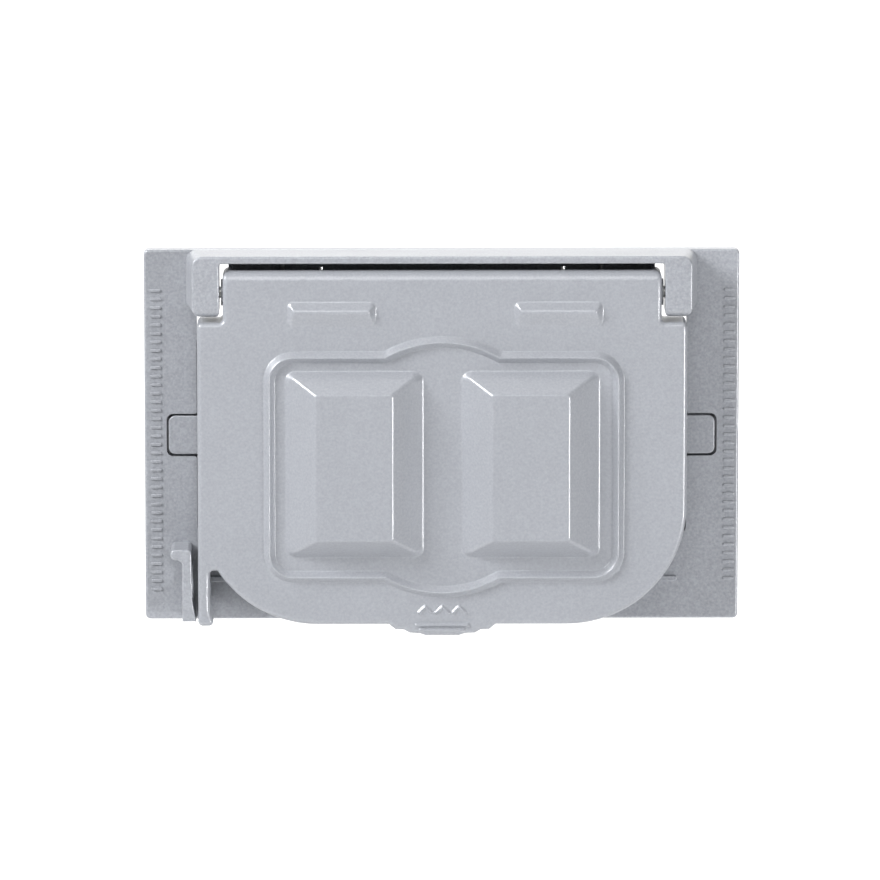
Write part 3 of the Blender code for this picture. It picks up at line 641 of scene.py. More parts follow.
def make_steel(name):
    material, tree, shader = new_material(name, (0.56, 0.56, 0.55), 0.3, 1.0)
    streaks = add_noise(tree, 1500, 3.0, (1, 1, 0.2))
    tree.links.new(spread(tree, streaks, 0.24, 0.42), shader.inputs["Roughness"])
    tint = spread(tree, add_noise(tree, 300, 3.0), 0.0, 1.0)
    blend_colors(tree, shader, tint, (0.46, 0.46, 0.45), (0.62, 0.62, 0.62))
    add_bump(tree, shader, [(streaks, 0.2, 0.02)])
    return material


def make_rubber(name):
    material, tree, shader = new_material(name, (0.025, 0.025, 0.027), 0.7)
    dust = spread(tree, add_noise(tree, 700, 4.0), 0.0, 1.0)
    blend_colors(tree, shader, dust, (0.018, 0.018, 0.02), (0.04, 0.04, 0.042))
    tree.links.new(spread(tree, dust, 0.62, 0.82), shader.inputs["Roughness"])
    add_bump(tree, shader, [(add_noise(tree, 1400, 2.0), 0.4, 0.05)])
    return material


def make_foam(name):
    """Closed-cell foam: small pits all over, with painted shade darkening each pit towards its bottom."""
    material, tree, shader = new_material(name, (0.035, 0.035, 0.038), 0.9)
    place = tree.nodes.new("ShaderNodeTexCoord")
    cells = tree.nodes.new("ShaderNodeTexVoronoi")
    cells.inputs["Scale"].default_value = 2200
    tree.links.new(place.outputs["Object"], cells.inputs["Vector"])
    pits_and_painted_shade = spread(tree, cells.outputs["Distance"], 0.0, 1.0, 0.0, 0.6)
    # the colour darkens towards each pit's bottom: painted shade in the pits
    blend_colors(tree, shader, pits_and_painted_shade, (0.02, 0.02, 0.022), (0.06, 0.06, 0.064))
    add_bump(tree, shader, [(pits_and_painted_shade, 0.7, 0.12)])
    return material


def make_fibre(name):
    material, tree, shader = new_material(name, (0.72, 0.70, 0.64), 0.75)
    fibres = add_noise(tree, 1800, 4.0, (1, 1, 0.3))
    blend_colors(tree, shader, spread(tree, fibres, 0.0, 1.0), (0.60, 0.58, 0.52), (0.78, 0.77, 0.72))
    add_bump(tree, shader, [(fibres, 0.4, 0.05)])
    return material


# ---- wall plate

def plate_outline(inset=0.0):
    across = PLATE_HALF_WIDTH - inset
    up = PLATE_HALF_HEIGHT - inset
    return rectangle(-across, -up, across, up, PLATE_CORNER)


def window_outline(side, margin=0.0):
    left, right = sorted((side * (WINDOW_INNER - margin), side * (WINDOW_OUTER + margin)))
    return rectangle(left, WINDOW_BOTTOM - margin, right, WINDOW_TOP + margin, WINDOW_CORNER)


def adapter_outline(grow=0.0):
    shoulder = ADAPTER_HALF_WIDTH + grow
    tall = ADAPTER_HALF_HEIGHT + grow
    ear = EAR_HALF_HEIGHT + grow
    tip = EAR_TIP + grow
    return rounded(mirrored([
        (shoulder, tall, ADAPTER_CORNER),
        (shoulder, ear, EAR_ROOT),
        (tip, ear, EAR_CORNER),
        (tip, -ear, EAR_CORNER),
        (shoulder, -ear, EAR_ROOT),
        (shoulder, -tall, ADAPTER_CORNER),
    ]))


def adapter_step_outline(grow=0.0):
    across = ADAPTER_HALF_WIDTH - ADAPTER_STEP + grow
    up = ADAPTER_HALF_HEIGHT - ADAPTER_STEP + grow
    return rectangle(-across, -up, across, up, ADAPTER_CORNER)


def make_hood():
    """Roof and hinge blocks, drafted and rounded like the casting."""
    outline = rounded(mirrored([
        (HOOD_HALF_WIDTH, HOOD_TOP, HOOD_CORNER),
        (HOOD_HALF_WIDTH, BLOCK_BOTTOM, HOOD_CORNER),
        (BLOCK_INNER, BLOCK_BOTTOM, 1.0),
        (BLOCK_INNER, HOOD_TOP - HOOD_ROOF, 0.5),
    ]))
    work = prism_mesh(outline, PLATE_FRONT - 1, HOOD_FRONT)
    for vert in work.verts:
        if vert.co.y == HOOD_FRONT and abs(vert.co.x) > BLOCK_INNER + BLOCK_WALL:
            vert.co.x -= math.copysign(HOOD_DRAFT, vert.co.x)
    bevel(work, HOOD_EDGE_ROUND, 4, at_depth(HOOD_FRONT))
    hood = object_from("hood", work)
    beyond = HOOD_FRONT + 2
    side = [(0, HOOD_TOP + 2), (beyond, HOOD_TOP + 2), (beyond, BLOCK_BOTTOM + BLOCK_EDGE_ROUND)]
    side += arc((HOOD_FRONT - BLOCK_EDGE_ROUND, BLOCK_BOTTOM + BLOCK_EDGE_ROUND),
                BLOCK_EDGE_ROUND, 0, -math.pi / 2)
    side += [(HOOD_FRONT - BLOCK_EDGE_ROUND, BLOCK_BOTTOM - 1), (0, BLOCK_BOTTOM - 1)]
    rounding = prism("lower_edge", side, -HOOD_HALF_WIDTH - 2, HOOD_HALF_WIDTH + 2, "side")
    return combine(hood, ("INTERSECT", [rounding]))


def make_plate_ear():
    ledge_end = PLATE_EAR_OUTER - PLATE_EAR_LEDGE
    ledge_bottom = PLATE_EAR_TOP - PLATE_EAR_LEDGE_HEIGHT
    outline = rounded([
        (ledge_end, PLATE_EAR_TOP, 1.0),
        (PLATE_EAR_INNER - PLATE_EAR_LEAN, PLATE_EAR_TOP, 0.9),
        (PLATE_EAR_INNER, PLATE_EAR_BOTTOM + PLATE_EAR_FOOT_HEIGHT, 3.0),
        (PLATE_EAR_INNER + PLATE_EAR_FOOT, PLATE_EAR_BOTTOM, 0.0),
        (PLATE_EAR_OUTER, PLATE_EAR_BOTTOM, 0.0),
        (PLATE_EAR_OUTER, ledge_bottom, 1.0),
        (ledge_end, ledge_bottom, 1.0),
    ])
    return prism("plate_ear", outline, PLATE_FRONT - 1, PLATE_EAR_FRONT, front_round=0.35)


def make_raised_marks():
    """Rows of short raised bars down both ends of the plate, in place of its lettering."""
    marks = []
    across, up = MARK_SIZE[0] / 2, MARK_SIZE[1] / 2
    for x, bottom in MARK_COLUMNS:
        count = round((MARKS_TOP - bottom) / MARK_SPACING)
        for i in range(count + 1):
            z = MARKS_TOP + (bottom - MARKS_TOP) * i / count
            outline = rectangle(x - across, z - up, x + across, z + up, 0.28)
            marks.append(prism("mark", outline, PLATE_FRONT - 0.3, PLATE_FRONT + MARK_HEIGHT,
                               front_round=0.12, segments=2))
    return together("marks", marks)


def make_base_plate(paint):
    plate = prism("cast_plate", plate_outline(), PLATE_BACK, PLATE_FRONT, front_round=PLATE_EDGE_ROUND,
                  back_round=0.2)
    ridge = prism("ridge", rectangle(-RIDGE_HALF_WIDTH, RIDGE_Z - RIDGE_HALF_THICKNESS, RIDGE_HALF_WIDTH,
                                     RIDGE_Z + RIDGE_HALF_THICKNESS, 0.5),
                  PLATE_FRONT - 1, PLATE_FRONT + RIDGE_HEIGHT, front_round=0.25)
    pocket_floor = PLATE_FRONT - ADAPTER_FACE - GAP
    beyond = PLATE_FRONT + 1
    cuts = [
        prism("opening", adapter_step_outline(POCKET_GAP), 0, beyond),
        prism("pocket", adapter_outline(POCKET_GAP), pocket_floor, beyond),
        bar_x("pin_hole", PIN_DEPTH, PIN_Z, PIN_HOLE_RADIUS, 1 - WINDOW_OUTER, WINDOW_OUTER - 1),
        bar_x("lock_hole", LOCK_HOLE_DEPTH, LOCK_HOLE_Z, LOCK_HOLE_RADIUS, PLATE_EAR_OUTER - 1,
              PLATE_EAR_INNER + 1),
    ]
    for side in (-1, 1):
        cuts.append(prism("window", window_outline(side), 0, PLATE_FRONT + GAP))
        left, right = sorted((side * (BLOCK_INNER + BLOCK_WALL), side * WINDOW_OUTER))
        hollow = rectangle(left, BLOCK_BOTTOM + BLOCK_WALL, right, WINDOW_TOP, 0.4)
        cuts.append(prism("block_hollow", hollow, 1, HOOD_FRONT - BLOCK_WALL, front_round=0.4))
    raised = [make_hood(), make_plate_ear(), ridge, make_raised_marks()]
    combine(plate, ("UNION", raised), ("DIFFERENCE", cuts))
    complete(plate, paint, "base", ["base_plate"])


# ---- adapter, gaskets and screws

def receptacle_outline(side, grow=0.0):
    """A circle with flat sides, round one face of a duplex receptacle."""
    radius = RECEPTACLE_RADIUS + grow
    half_width = RECEPTACLE_HALF_WIDTH + grow
    centre = (side * RECEPTACLE_SPACING / 2, 0)
    flat_angle = math.acos(half_width / radius)
    sweep = 2 * flat_angle - math.pi
    return arc(centre, radius, math.pi - flat_angle, sweep) + arc(centre, radius, -flat_angle, sweep)


def make_adapter(paint):
    plate = prism("adapter", adapter_outline(), PLATE_FRONT - ADAPTER_FACE, PLATE_FRONT, front_round=0.25,
                  segments=3)
    step = prism("step", adapter_step_outline(), PLATE_BACK, PLATE_FRONT - ADAPTER_FACE / 2, back_round=0.2)
    cuts = []
    for side in (-1, 1):
        cuts.append(prism("opening", receptacle_outline(side), 0, PLATE_FRONT + 1))
    for x, _, _ in SCREWS.values():
        head = SCREW_HEAD_RADIUS + GAP
        shank = SCREW_RADIUS + GAP
        profile = [(0, 2), (head, 2), (head, 0), (shank, -SCREW_HEAD_HEIGHT), (shank, -10), (0, -10)]
        cuts.append(turned("hole", profile, (x, SCREW_FACE, 0), "out"))
    combine(plate, ("UNION", [step]), ("DIFFERENCE", cuts))
    complete(plate, paint, "base", ["adapter_plate"])


def make_wall_gasket(rubber):
    cuts = [prism("opening", adapter_step_outline(GAP), -1, GASKET_THICKNESS + 1)]
    for side in (-1, 1):
        cuts.append(prism("window", window_outline(side, GAP), -1, GASKET_THICKNESS + 1))
    gasket = prism("rubber_sheet", plate_outline(0.7), 0, GASKET_THICKNESS, front_round=0.25, back_round=0.25)
    combine(gasket, ("DIFFERENCE", cuts))
    complete(gasket, rubber, "base", ["wall_gasket"])


def make_device_gasket(foam):
    cuts = []
    for side in (-1, 1):
        cuts.append(prism("opening", receptacle_outline(side, GAP), -1, GASKET_THICKNESS + 1))
    for x, _, _ in SCREWS.values():
        cuts.append(prism("hole", circle((x, 0), RETAINER_RADIUS + GAP), -1, GASKET_THICKNESS + 1))
    gasket = prism("foam_sheet", adapter_step_outline(), 0, GASKET_THICKNESS, front_round=0.3, back_round=0.3)
    combine(gasket, ("DIFFERENCE", cuts))
    complete(gasket, foam, "base", ["device_gasket"])


def make_lid_gasket(foam):
    front = -seal_low.y
    ring = prism("lid_seal", lid_inner_outline(GAP, seal_high.z), -seal_high.y, front, back_round=0.4)
    inner = lid_inner_outline(GAP + LID_GASKET_WIDTH, seal_high.z - LID_GASKET_WIDTH)
    combine(ring, ("DIFFERENCE", [prism("opening", inner, 0, LID_FRONT)]))
    complete(ring, foam, "lid", ["lid_gasket"])


def make_shank(name, x, length):
    """The threaded shank of a screw, with a real helix and a tapered tip."""
    steps = 24
    core = 0.6
    per_turn = 8
    start = SCREW_HEAD_HEIGHT - 0.2
    rings = round((length - start) / THREAD_PITCH * per_turn)
    work = bmesh.new()
    stack = []
    for row in range(rings + 1):
        height = start + (length - start) * row / rings
        from_end = length - height
        ring = []
        for i in range(steps):
            turn = (height / THREAD_PITCH + i / steps) % 1.0
            groove = THREAD_DEPTH * abs(2 * turn - 1)
            crest = min(SCREW_RADIUS, SCREW_RADIUS - core + from_end)
            radius = max(crest - groove, core)
            angle = math.tau * i / steps
            ring.append(work.verts.new((x + radius * math.cos(angle), SCREW_FACE - height,
                                        radius * math.sin(angle))))
        stack.append(ring)
    skin(work, stack)
    return object_from(name, work)


def make_screw(name, node, x, length, steel):
    taper = SCREW_HEAD_HEIGHT
    profile = [(0, 0), (SCREW_HEAD_RADIUS - 0.15, 0), (SCREW_HEAD_RADIUS, -0.12), (SCREW_RADIUS, -taper),
               (SCREW_RADIUS - 0.3, -taper - 0.3), (0, -taper - 0.3)]
    screw = turned(name, profile, (x, SCREW_FACE, 0), "out")
    width, depth = SCREW_SLOT
    beyond = SCREW_HEAD_RADIUS + 1
    slot = prism("slot", rectangle(x - width / 2, -beyond, x + width / 2, beyond), SCREW_FACE - depth,
                 SCREW_FACE + 1)
    combine(screw, ("UNION", [make_shank("shank", x, length)]), ("DIFFERENCE", [slot]))
    complete(screw, steel, "base", [node])


def make_retainer(name, node, x, fibre):
    inner = SCREW_RADIUS + GAP
    outer = RETAINER_RADIUS
    top = RETAINER_THICKNESS
    edge = 0.12
    profile = [(inner, 0), (inner, top), (outer - edge, top), (outer, top - edge), (outer, edge),
               (outer - edge, 0)]
    washer = turned(name, profile, (x, RETAINER_BACK, 0), "out", ring=True)
    complete(washer, fibre, "base", [node])


# ---- lid

def tab_corners():
    """Grip tab below the lid, stepping in twice to its tip."""
    steps = [(10.4, 0.0), (9.1, 1.05), (7.5, 1.1), (6.3, 1.75), (4.4, 1.85), (3.2, TAB_DROP)]
    return [(across, LID_BOTTOM - drop, 0.0) for across, drop in steps]


def lid_outline():
    """The lid from the front, clockwise from the middle of its top edge."""
    corner_x = LID_HALF_WIDTH - LID_CORNER
    corner_z = LID_BOTTOM + LID_CORNER
    right = rounded([
        (0, LID_TOP, 0),
        (LID_NECK_HALF_WIDTH, LID_TOP, LID_NECK_CORNER),
        (LID_NECK_HALF_WIDTH, LID_SHOULDER, 0.8),
        (LID_HALF_WIDTH, LID_SHOULDER, 1.0),
        (LID_HALF_WIDTH, corner_z, 0),
    ])[:-1]
    right += arc((corner_x, corner_z), LID_CORNER, 0, -math.pi / 2)
    tab = rounded(mirrored(tab_corners()))
    notch = math.asin((corner_z - LID_NOTCH_TOP + LID_NOTCH_RUN) / LID_CORNER)
    left = arc((-corner_x, corner_z), LID_CORNER, -math.pi / 2, notch - math.pi / 2)[:-1]
    left += rounded([
        (-corner_x - LID_CORNER * math.cos(notch), corner_z - LID_CORNER * math.sin(notch), 0),
        (LID_NOTCH_INNER, LID_NOTCH_TOP, 0.6),
        (LID_EAR_INNER, LID_NOTCH_TOP, 0.7),
        (LID_EAR_INNER, LID_EAR_BOTTOM + LID_EAR_FOOT_HEIGHT, 2.0),
        (LID_EAR_INNER + LID_EAR_FOOT, LID_EAR_BOTTOM, 0.9),
        (-LID_HALF_WIDTH, LID_EAR_BOTTOM, 0.9),
        (-LID_HALF_WIDTH, LID_SHOULDER, 1.0),
        (-LID_NECK_HALF_WIDTH, LID_SHOULDER, 0.8),
        (-LID_NECK_HALF_WIDTH, LID_TOP, LID_NECK_CORNER),
        (0, LID_TOP, 0),
    ])[:-1]
    return right + tab + left


def lid_side_outline():
    """(depth, z): cheeks that clear the plate as they turn round the pin."""
    low = LID_BOTTOM - 10
    beyond = LID_FRONT + PAD_HEIGHT + 5
    above = LID_TOP + 2
    outline = [(beyond, low), (beyond, above), (PIN_DEPTH + 0.5, above), (PIN_DEPTH + 0.5, LID_TOP)]
    cheek_start = math.asin((LID_TOP - PIN_Z) / KNUCKLE_RADIUS)
    outline += arc((PIN_DEPTH, PIN_Z), KNUCKLE_RADIUS, math.pi - cheek_start, cheek_start)
    outline += [(PIN_DEPTH - KNUCKLE_RADIUS, PIN_Z - 2), (LID_BACK, PIN_Z - 3), (LID_BACK - 2, PIN_Z - 3),
                (LID_BACK - 2, low)]
    return outline


def lid_inner_outline(inset=0.0, top=None):
    """The hollow behind the lid's face; with top, only the wide part below that height."""
    wide = LID_HALF_WIDTH - LID_WALL - inset
    neck = LID_NECK_HALF_WIDTH - LID_WALL - inset
    bottom = LID_BOTTOM + LID_WALL + inset
    corner = LID_CORNER - LID_WALL - inset
    if top is not None:
        return rounded(mirrored([(wide, top, 1.0), (wide, bottom, corner)]))
    return rounded(mirrored([
        (neck, LID_TOP - LID_WALL, 0.5),
        (neck, LID_SHOULDER - LID_WALL, 0.8),
        (wide, LID_SHOULDER - LID_WALL, 0.5),
        (wide, bottom, corner),
    ]))


def bead_path():
    """Centreline of the bead: a rounded frame whose top and bottom swell out in an arc."""
    half = BEAD_BUMP_HALF_WIDTH
    bump_radius = (half ** 2 + BEAD_BUMP_RISE ** 2) / (2 * BEAD_BUMP_RISE)
    half_sweep = math.asin(half / bump_radius)
    centre_top = BEAD_TOP + BEAD_BUMP_RISE - bump_radius
    centre_bottom = BEAD_BOTTOM - BEAD_BUMP_RISE + bump_radius
    top = arc((0, centre_top), bump_radius, math.pi / 2 + half_sweep, -2 * half_sweep)
    bottom = arc((0, centre_bottom), bump_radius, half_sweep - math.pi / 2, -2 * half_sweep)
    sides = rounded([
        (BEAD_RIGHT, BEAD_TOP, BEAD_CORNER),
        (BEAD_RIGHT, BEAD_BOTTOM, BEAD_CORNER),
        (BEAD_LEFT, BEAD_BOTTOM, BEAD_CORNER),
        (BEAD_LEFT, BEAD_TOP, BEAD_CORNER),
    ])
    half_count = len(sides) // 2
    return resampled(top + sides[:half_count] + bottom + sides[half_count:], 1.0)


def chevron_strokes():
    """Three small upward arrows where the lid is lifted."""
    half = CHEVRON_HALF_WIDTH
    strokes = []
    for x in (-CHEVRON_SPACING, 0.0, CHEVRON_SPACING):
        strokes.append([(x - half, CHEVRON_FOOT), (x, CHEVRON_TIP), (x + half, CHEVRON_FOOT)])
    return strokes


def bead_height(points, bead):
    """A low ridge with straight sides, a rounded crest and a small fillet at its foot."""
    across = np.hypot(path_distance(points, bead, closed=True), BEAD_CREST) - BEAD_CREST
    full = math.hypot(BEAD_REACH, BEAD_CREST) - BEAD_CREST
    return BEAD_HEIGHT * soft_ramp(1 - across / full, BEAD_SOFTNESS)


def slanted(u, v, hip, corner):
    """Share of the height inside two slopes that meet along a hip, with rounded corners at the foot."""
    share = soft_min(u, v, hip)
    round_corner = corner - np.hypot(corner - u, corner - v)
    return np.where((u < corner) & (v < corner), np.minimum(round_corner, share), share)


def pad_height(points, side):
    u = (PAD_BASE[0] / 2 - np.abs(points[:, 0] - side * PAD_CENTRE_X)) / PAD_SLOPE[0]
    v = (PAD_BASE[1] / 2 - np.abs(points[:, 1] - PAD_CENTRE_Z)) / PAD_SLOPE[1]
    return PAD_HEIGHT * soft_step(slanted(u, v, PAD_HIP_ROUND, PAD_CORNER), PAD_SOFTNESS)


def bulge_height(points, centre):
    """A long roof with a rounded ridge nearer its top, and sloping ends."""
    z = points[:, 1]
    rise = (BULGE_TOP - z) / (BULGE_TOP - BULGE_RIDGE)
    fall = (z - BULGE_BOTTOM) / (BULGE_RIDGE - BULGE_BOTTOM)
    end = (BULGE_LENGTH / 2 - np.abs(points[:, 0] - centre)) / BULGE_END
    roof = soft_min(rise, fall, BULGE_RIDGE_ROUND)
    share = slanted(end, roof, BULGE_HIP_ROUND, BULGE_CORNER)
    return BULGE_HEIGHT * soft_ramp(np.minimum(share, 1), BULGE_SOFTNESS)


def stroke_height(points, strokes, height, reach):
    total = np.zeros(len(points))
    for stroke in strokes:
        nearness = np.clip(1 - path_distance(points, stroke) / reach, 0, 1)
        total = np.maximum(total, height * np.sin(nearness * math.pi / 2) ** 2)
    return total


def lid_depth(points, outline, bead):
    """Depth of the lid's outer face at each (x, z) point."""
    neck_end = LID_NECK_HALF_WIDTH - LID_NECK_CORNER
    sides = [point for point in outline if abs(point[0]) > neck_end or point[1] < LID_TOP - LID_NECK_CORNER]
    depth = np.full(len(points), LID_FRONT)
    depth -= edge_drop(path_distance(points, sides), LID_EDGE_ROUND)
    depth -= edge_drop(LID_TOP - points[:, 1], LID_TOP_ROUND)
    depth += bead_height(points, bead)
    for side in (-1, 1):
        depth += pad_height(points, side)
    for centre in BULGE_CENTRES_X:
        depth += bulge_height(points, centre)
    depth += stroke_height(points, chevron_strokes(), CHEVRON_HEIGHT, CHEVRON_REACH)
    ribs = [[(-half, z), (half, z)] for half, z in RIBS]
    depth += stroke_height(points, ribs, RIB_HEIGHT, RIB_REACH)
    return depth


def grid(left, bottom, right, top, spacing):
    across = np.linspace(left, right, max(2, round((right - left) / spacing) + 1))
    up = np.linspace(bottom, top, max(2, round((top - bottom) / spacing) + 1))
    return np.array([(x, z) for x in across for z in up])


def on_flat_face(points, bead):
    """Points of the lid's face that keep clear of its raised work."""
    clear = 0.5
    flat = path_distance(points, bead, closed=True) > BEAD_REACH + clear
    for side in (-1, 1):
        beside = np.abs(points[:, 0] - side * PAD_CENTRE_X) > PAD_BASE[0] / 2 + clear
        flat &= beside | (np.abs(points[:, 1] - PAD_CENTRE_Z) > PAD_BASE[1] / 2 + clear)
    for centre in BULGE_CENTRES_X:
        beside = np.abs(points[:, 0] - centre) > BULGE_LENGTH / 2 + clear
        flat &= beside | (points[:, 1] > BULGE_TOP + clear) | (points[:, 1] < BULGE_BOTTOM - clear)
    return flat


def hip_samples(side):
    """Rows of points along the four slanting edges of a pad."""
    rows = []
    for level in np.linspace(0.03, 0.97, 40):
        for offset in np.linspace(-0.07, 0.07, 9):
            x = PAD_BASE[0] / 2 - (level + offset) * PAD_SLOPE[0]
            z = PAD_BASE[1] / 2 - (level - offset) * PAD_SLOPE[1]
            rows += [(x, z), (-x, z), (x, -z), (-x, -z)]
    return np.array(rows) + (side * PAD_CENTRE_X, PAD_CENTRE_Z)


def pad_samples(side):
    """Rings of points round a pad, closest together at its foot, its brow and its corners."""
    fine = [t / 4 * PAD_SOFTNESS for t in range(-5, 6)]
    levels = fine + [0.25, 0.4, 0.55, 0.7, 0.82] + [1 + t for t in fine]
    along = [i / 14 for i in range(-12, 13)]
    near_corner = [1 - t for t in (0.1, 0.07, 0.045, 0.025, 0.012, 0.0)]
    along = sorted(along + near_corner + [-t for t in near_corner])
    points = []
    for level in levels:
        half_x = PAD_BASE[0] / 2 - level * PAD_SLOPE[0]
        half_z = PAD_BASE[1] / 2 - level * PAD_SLOPE[1]
        for s in along:
            points += [(half_x * s, half_z), (half_x * s, -half_z)]
            points += [(half_x, half_z * s), (-half_x, half_z * s)]
    return np.array(points) + (side * PAD_CENTRE_X, PAD_CENTRE_Z)


def lid_sample_points(outline, bead):
    """Where the face needs vertices: a coarse grid, and fine rows along every edge and raised line."""
    coarse = grid(-LID_HALF_WIDTH, lid_low.z, LID_HALF_WIDTH, LID_TOP, 1.6)
    samples = [coarse[on_flat_face(coarse, bead)]]
    edge_rows = 6
    for i in range(1, edge_rows + 1):
        inset = 1 - math.cos(math.pi / 2 * i / edge_rows)
        samples.append(shifted(outline, inset * LID_EDGE_ROUND))
        z = LID_TOP - inset * LID_TOP_ROUND
        samples.append(grid(-LID_NECK_HALF_WIDTH, z, LID_NECK_HALF_WIDTH, z, 1.0)[::2])
    bead_rows = (0.06, 0.12, 0.2, 0.32, 0.46, 0.6, 0.74, 0.84, 0.89, 0.94, 0.99, 1.04, 1.09, 1.15, 1.25)
    for share in bead_rows:
        samples.append(shifted(bead, BEAD_REACH * share))
        samples.append(shifted(bead, -BEAD_REACH * share))
    samples.append(np.array(bead))
    samples += [hip_samples(-1), hip_samples(1), pad_samples(-1), pad_samples(1)]
    for centre in BULGE_CENTRES_X:
        left = centre - BULGE_LENGTH / 2
        samples.append(grid(left - 0.2, BULGE_BOTTOM - 0.3, left + BULGE_LENGTH + 0.2, BULGE_TOP + 0.3, 0.2))
    samples.append(grid(*GRIP_AREA, 0.16))
    return np.concatenate(samples)


def make_lid_blank():
    """The lid's outer face as a fine relief, with walls straight back along its outline."""
    outline = resampled(lid_outline(), 1.0)
    bead = bead_path()
    samples = lid_sample_points(outline, bead)
    keep = is_inside(samples, outline) & (path_distance(samples, outline, closed=True) > 0.03)
    points = np.concatenate([np.array(outline), samples[keep]])
    border = list(range(len(outline)))
    flat, _, faces = delaunay_2d_cdt([Vector(p) for p in points], [], [border], 1, 1e-3)[:3]
    places = np.array([tuple(p) for p in flat])
    depths = lid_depth(places, outline, bead)
    work = bmesh.new()
    verts = [work.verts.new((x, depth, z)) for (x, z), depth in zip(places, depths)]
    for face in faces:
        work.faces.new([verts[i] for i in face])
    rim = [edge for edge in work.edges if edge.is_boundary]
    walls = bmesh.ops.extrude_edge_only(work, edges=rim)["geom"]
    for vert in walls:
        if isinstance(vert, bmesh.types.BMVert):
            vert.co.y = LID_BACK
    back = [edge for edge in work.edges if edge.is_boundary]
    bmesh.ops.holes_fill(work, edges=back, sides=0)
    loose = [vert for vert in work.verts if not vert.link_faces]
    bmesh.ops.delete(work, geom=loose, context="VERTS")
    return object_from("lid_shell", work)


def frustum(name, centre, base, top, back, front):
    work = bmesh.new()
    rings = []
    for (width, height), depth in ((base, back), (top, front)):
        outline = rectangle(centre[0] - width / 2, centre[1] - height / 2, centre[0] + width / 2,
                            centre[1] + height / 2, 1.0)
        rings.append([work.verts.new((x, depth, z)) for x, z in outline])
    skin(work, rings)
    return object_from(name, work)


def make_lid(paint):
    lid = make_lid_blank()
    neck = LID_NECK_HALF_WIDTH - LID_WALL
    lip_back = LID_FRONT - LID_TOP_ROUND
    cuts = [
        prism("hollow", lid_inner_outline(), 0, LID_FRONT - LID_FACE, front_round=0.4),
        prism("top_opening", rectangle(-neck, LID_TOP - LID_LIP_HEIGHT, neck, LID_TOP + 2), 0, lip_back),
        prism("tab_relief", rectangle(-TAB_RELIEF_HALF_WIDTH, LID_BOTTOM - 5, TAB_RELIEF_HALF_WIDTH,
                                      LID_BOTTOM - 0.1), 0, TAB_BACK),
    ]
    for side in (-1, 1):
        base = (PAD_BASE[0] - 2 * LID_FACE, PAD_BASE[1] - 2 * LID_FACE)
        top = (PAD_TOP[0] - LID_FACE, PAD_TOP[1] - LID_FACE)
        cuts.append(frustum("pad_hollow", (side * PAD_CENTRE_X, PAD_CENTRE_Z), base, top,
                            LID_FRONT - LID_FACE - PAD_HOLLOW_OVERLAP, LID_FRONT + PAD_HEIGHT - LID_FACE))
    added = []
    for side in (-1, 1):
        left, right = sorted((side * (LID_NECK_HALF_WIDTH - 1), side * (BLOCK_INNER - GAP)))
        added.append(bar_x("boss", PIN_DEPTH, PIN_Z, BOSS_RADIUS, left, right))
        for x in (SPRING_INNER_X - WEB_GAP - WEB_THICKNESS, SPRING_OUTER_X + WEB_GAP):
            left, right = sorted((side * x, side * (x + WEB_THICKNESS)))
            web = rounded([
                (PIN_DEPTH - WEB_BACK, PIN_Z + WEB_RISE, WEB_CORNER),
                (LID_FRONT - LID_FACE / 2, PIN_Z + WEB_RISE, 0),
                (LID_FRONT - LID_FACE / 2, PIN_Z - WEB_DROP, 0),
                (PIN_DEPTH - WEB_BACK, PIN_Z - WEB_DROP, WEB_CORNER),
            ])
            added.append(prism("web", web, left, right, "side"))
    bores = [
        bar_x("pin_hole", PIN_DEPTH, PIN_Z, PIN_HOLE_RADIUS, -BLOCK_INNER, BLOCK_INNER),
        bar_x("lock_hole", LOCK_HOLE_DEPTH, LOCK_HOLE_Z, LOCK_HOLE_RADIUS, -LID_HALF_WIDTH - 1,
              LID_EAR_INNER + 0.5),
    ]
    side_profile = prism("side", lid_side_outline(), -LID_PROFILE_REACH, LID_PROFILE_REACH, "side")
    hollows = cuts.pop(0)
    combine(hollows, ("UNION", cuts))
    combine(lid, ("INTERSECT", [side_profile]), ("DIFFERENCE", [hollows]),
            ("UNION", [together("added", added)]), ("DIFFERENCE", [together("bores", bores)]))
    complete(lid, paint, "lid", ["lid"])


# ---- pin and springs

def make_pin(steel):
    half = PIN_HALF_LENGTH
    edge = 0.3
    profile = [(0, half), (PIN_RADIUS - edge, half), (PIN_RADIUS, half - edge), (PIN_RADIUS, edge - half),
               (PIN_RADIUS - edge, -half), (0, -half)]
    pin = turned("pin", profile, (0, PIN_DEPTH, PIN_Z), "x")
    complete(pin, steel, "base", ["hinge_pin"])


def spring_points(side):
    """Fixed leg down the plate, the coil round the pin, and a free leg up behind the lid's lip."""
    steps = 30
    outer = side * SPRING_OUTER_X
    inner = side * SPRING_INNER_X
    on_plate = PLATE_FRONT + GAP + SPRING_WIRE / 2
    behind_lip = LID_FRONT - LID_TOP_ROUND - GAP - SPRING_WIRE / 2
    bend_centre = (on_plate + SPRING_BEND, PIN_Z - SPRING_RADIUS + SPRING_BEND)
    points = [(outer, on_plate, FIXED_LEG_TOP)]
    for depth, z in arc(bend_centre, SPRING_BEND, math.pi, math.pi / 2):
        points.append((outer, depth, z))
    count = round(SPRING_TURNS * steps)
    for i in range(count + 1):
        angle = 1.5 * math.pi + math.tau * SPRING_TURNS * i / count
        x = outer + (inner - outer) * i / count
        depth = PIN_DEPTH + SPRING_RADIUS * math.cos(angle)
        points.append((x, depth, PIN_Z + SPRING_RADIUS * math.sin(angle)))
    points.append((inner, behind_lip, FREE_LEG_BEND_Z))
    points.append((inner, behind_lip, FREE_LEG_TOP))
    return points


def make_spring(name, node, side, steel):
    spring = wire(name, spring_points(side), SPRING_WIRE / 2)
    complete(spring, steel, None, [node])
    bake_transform(spring)


# ---- room, lights and camera

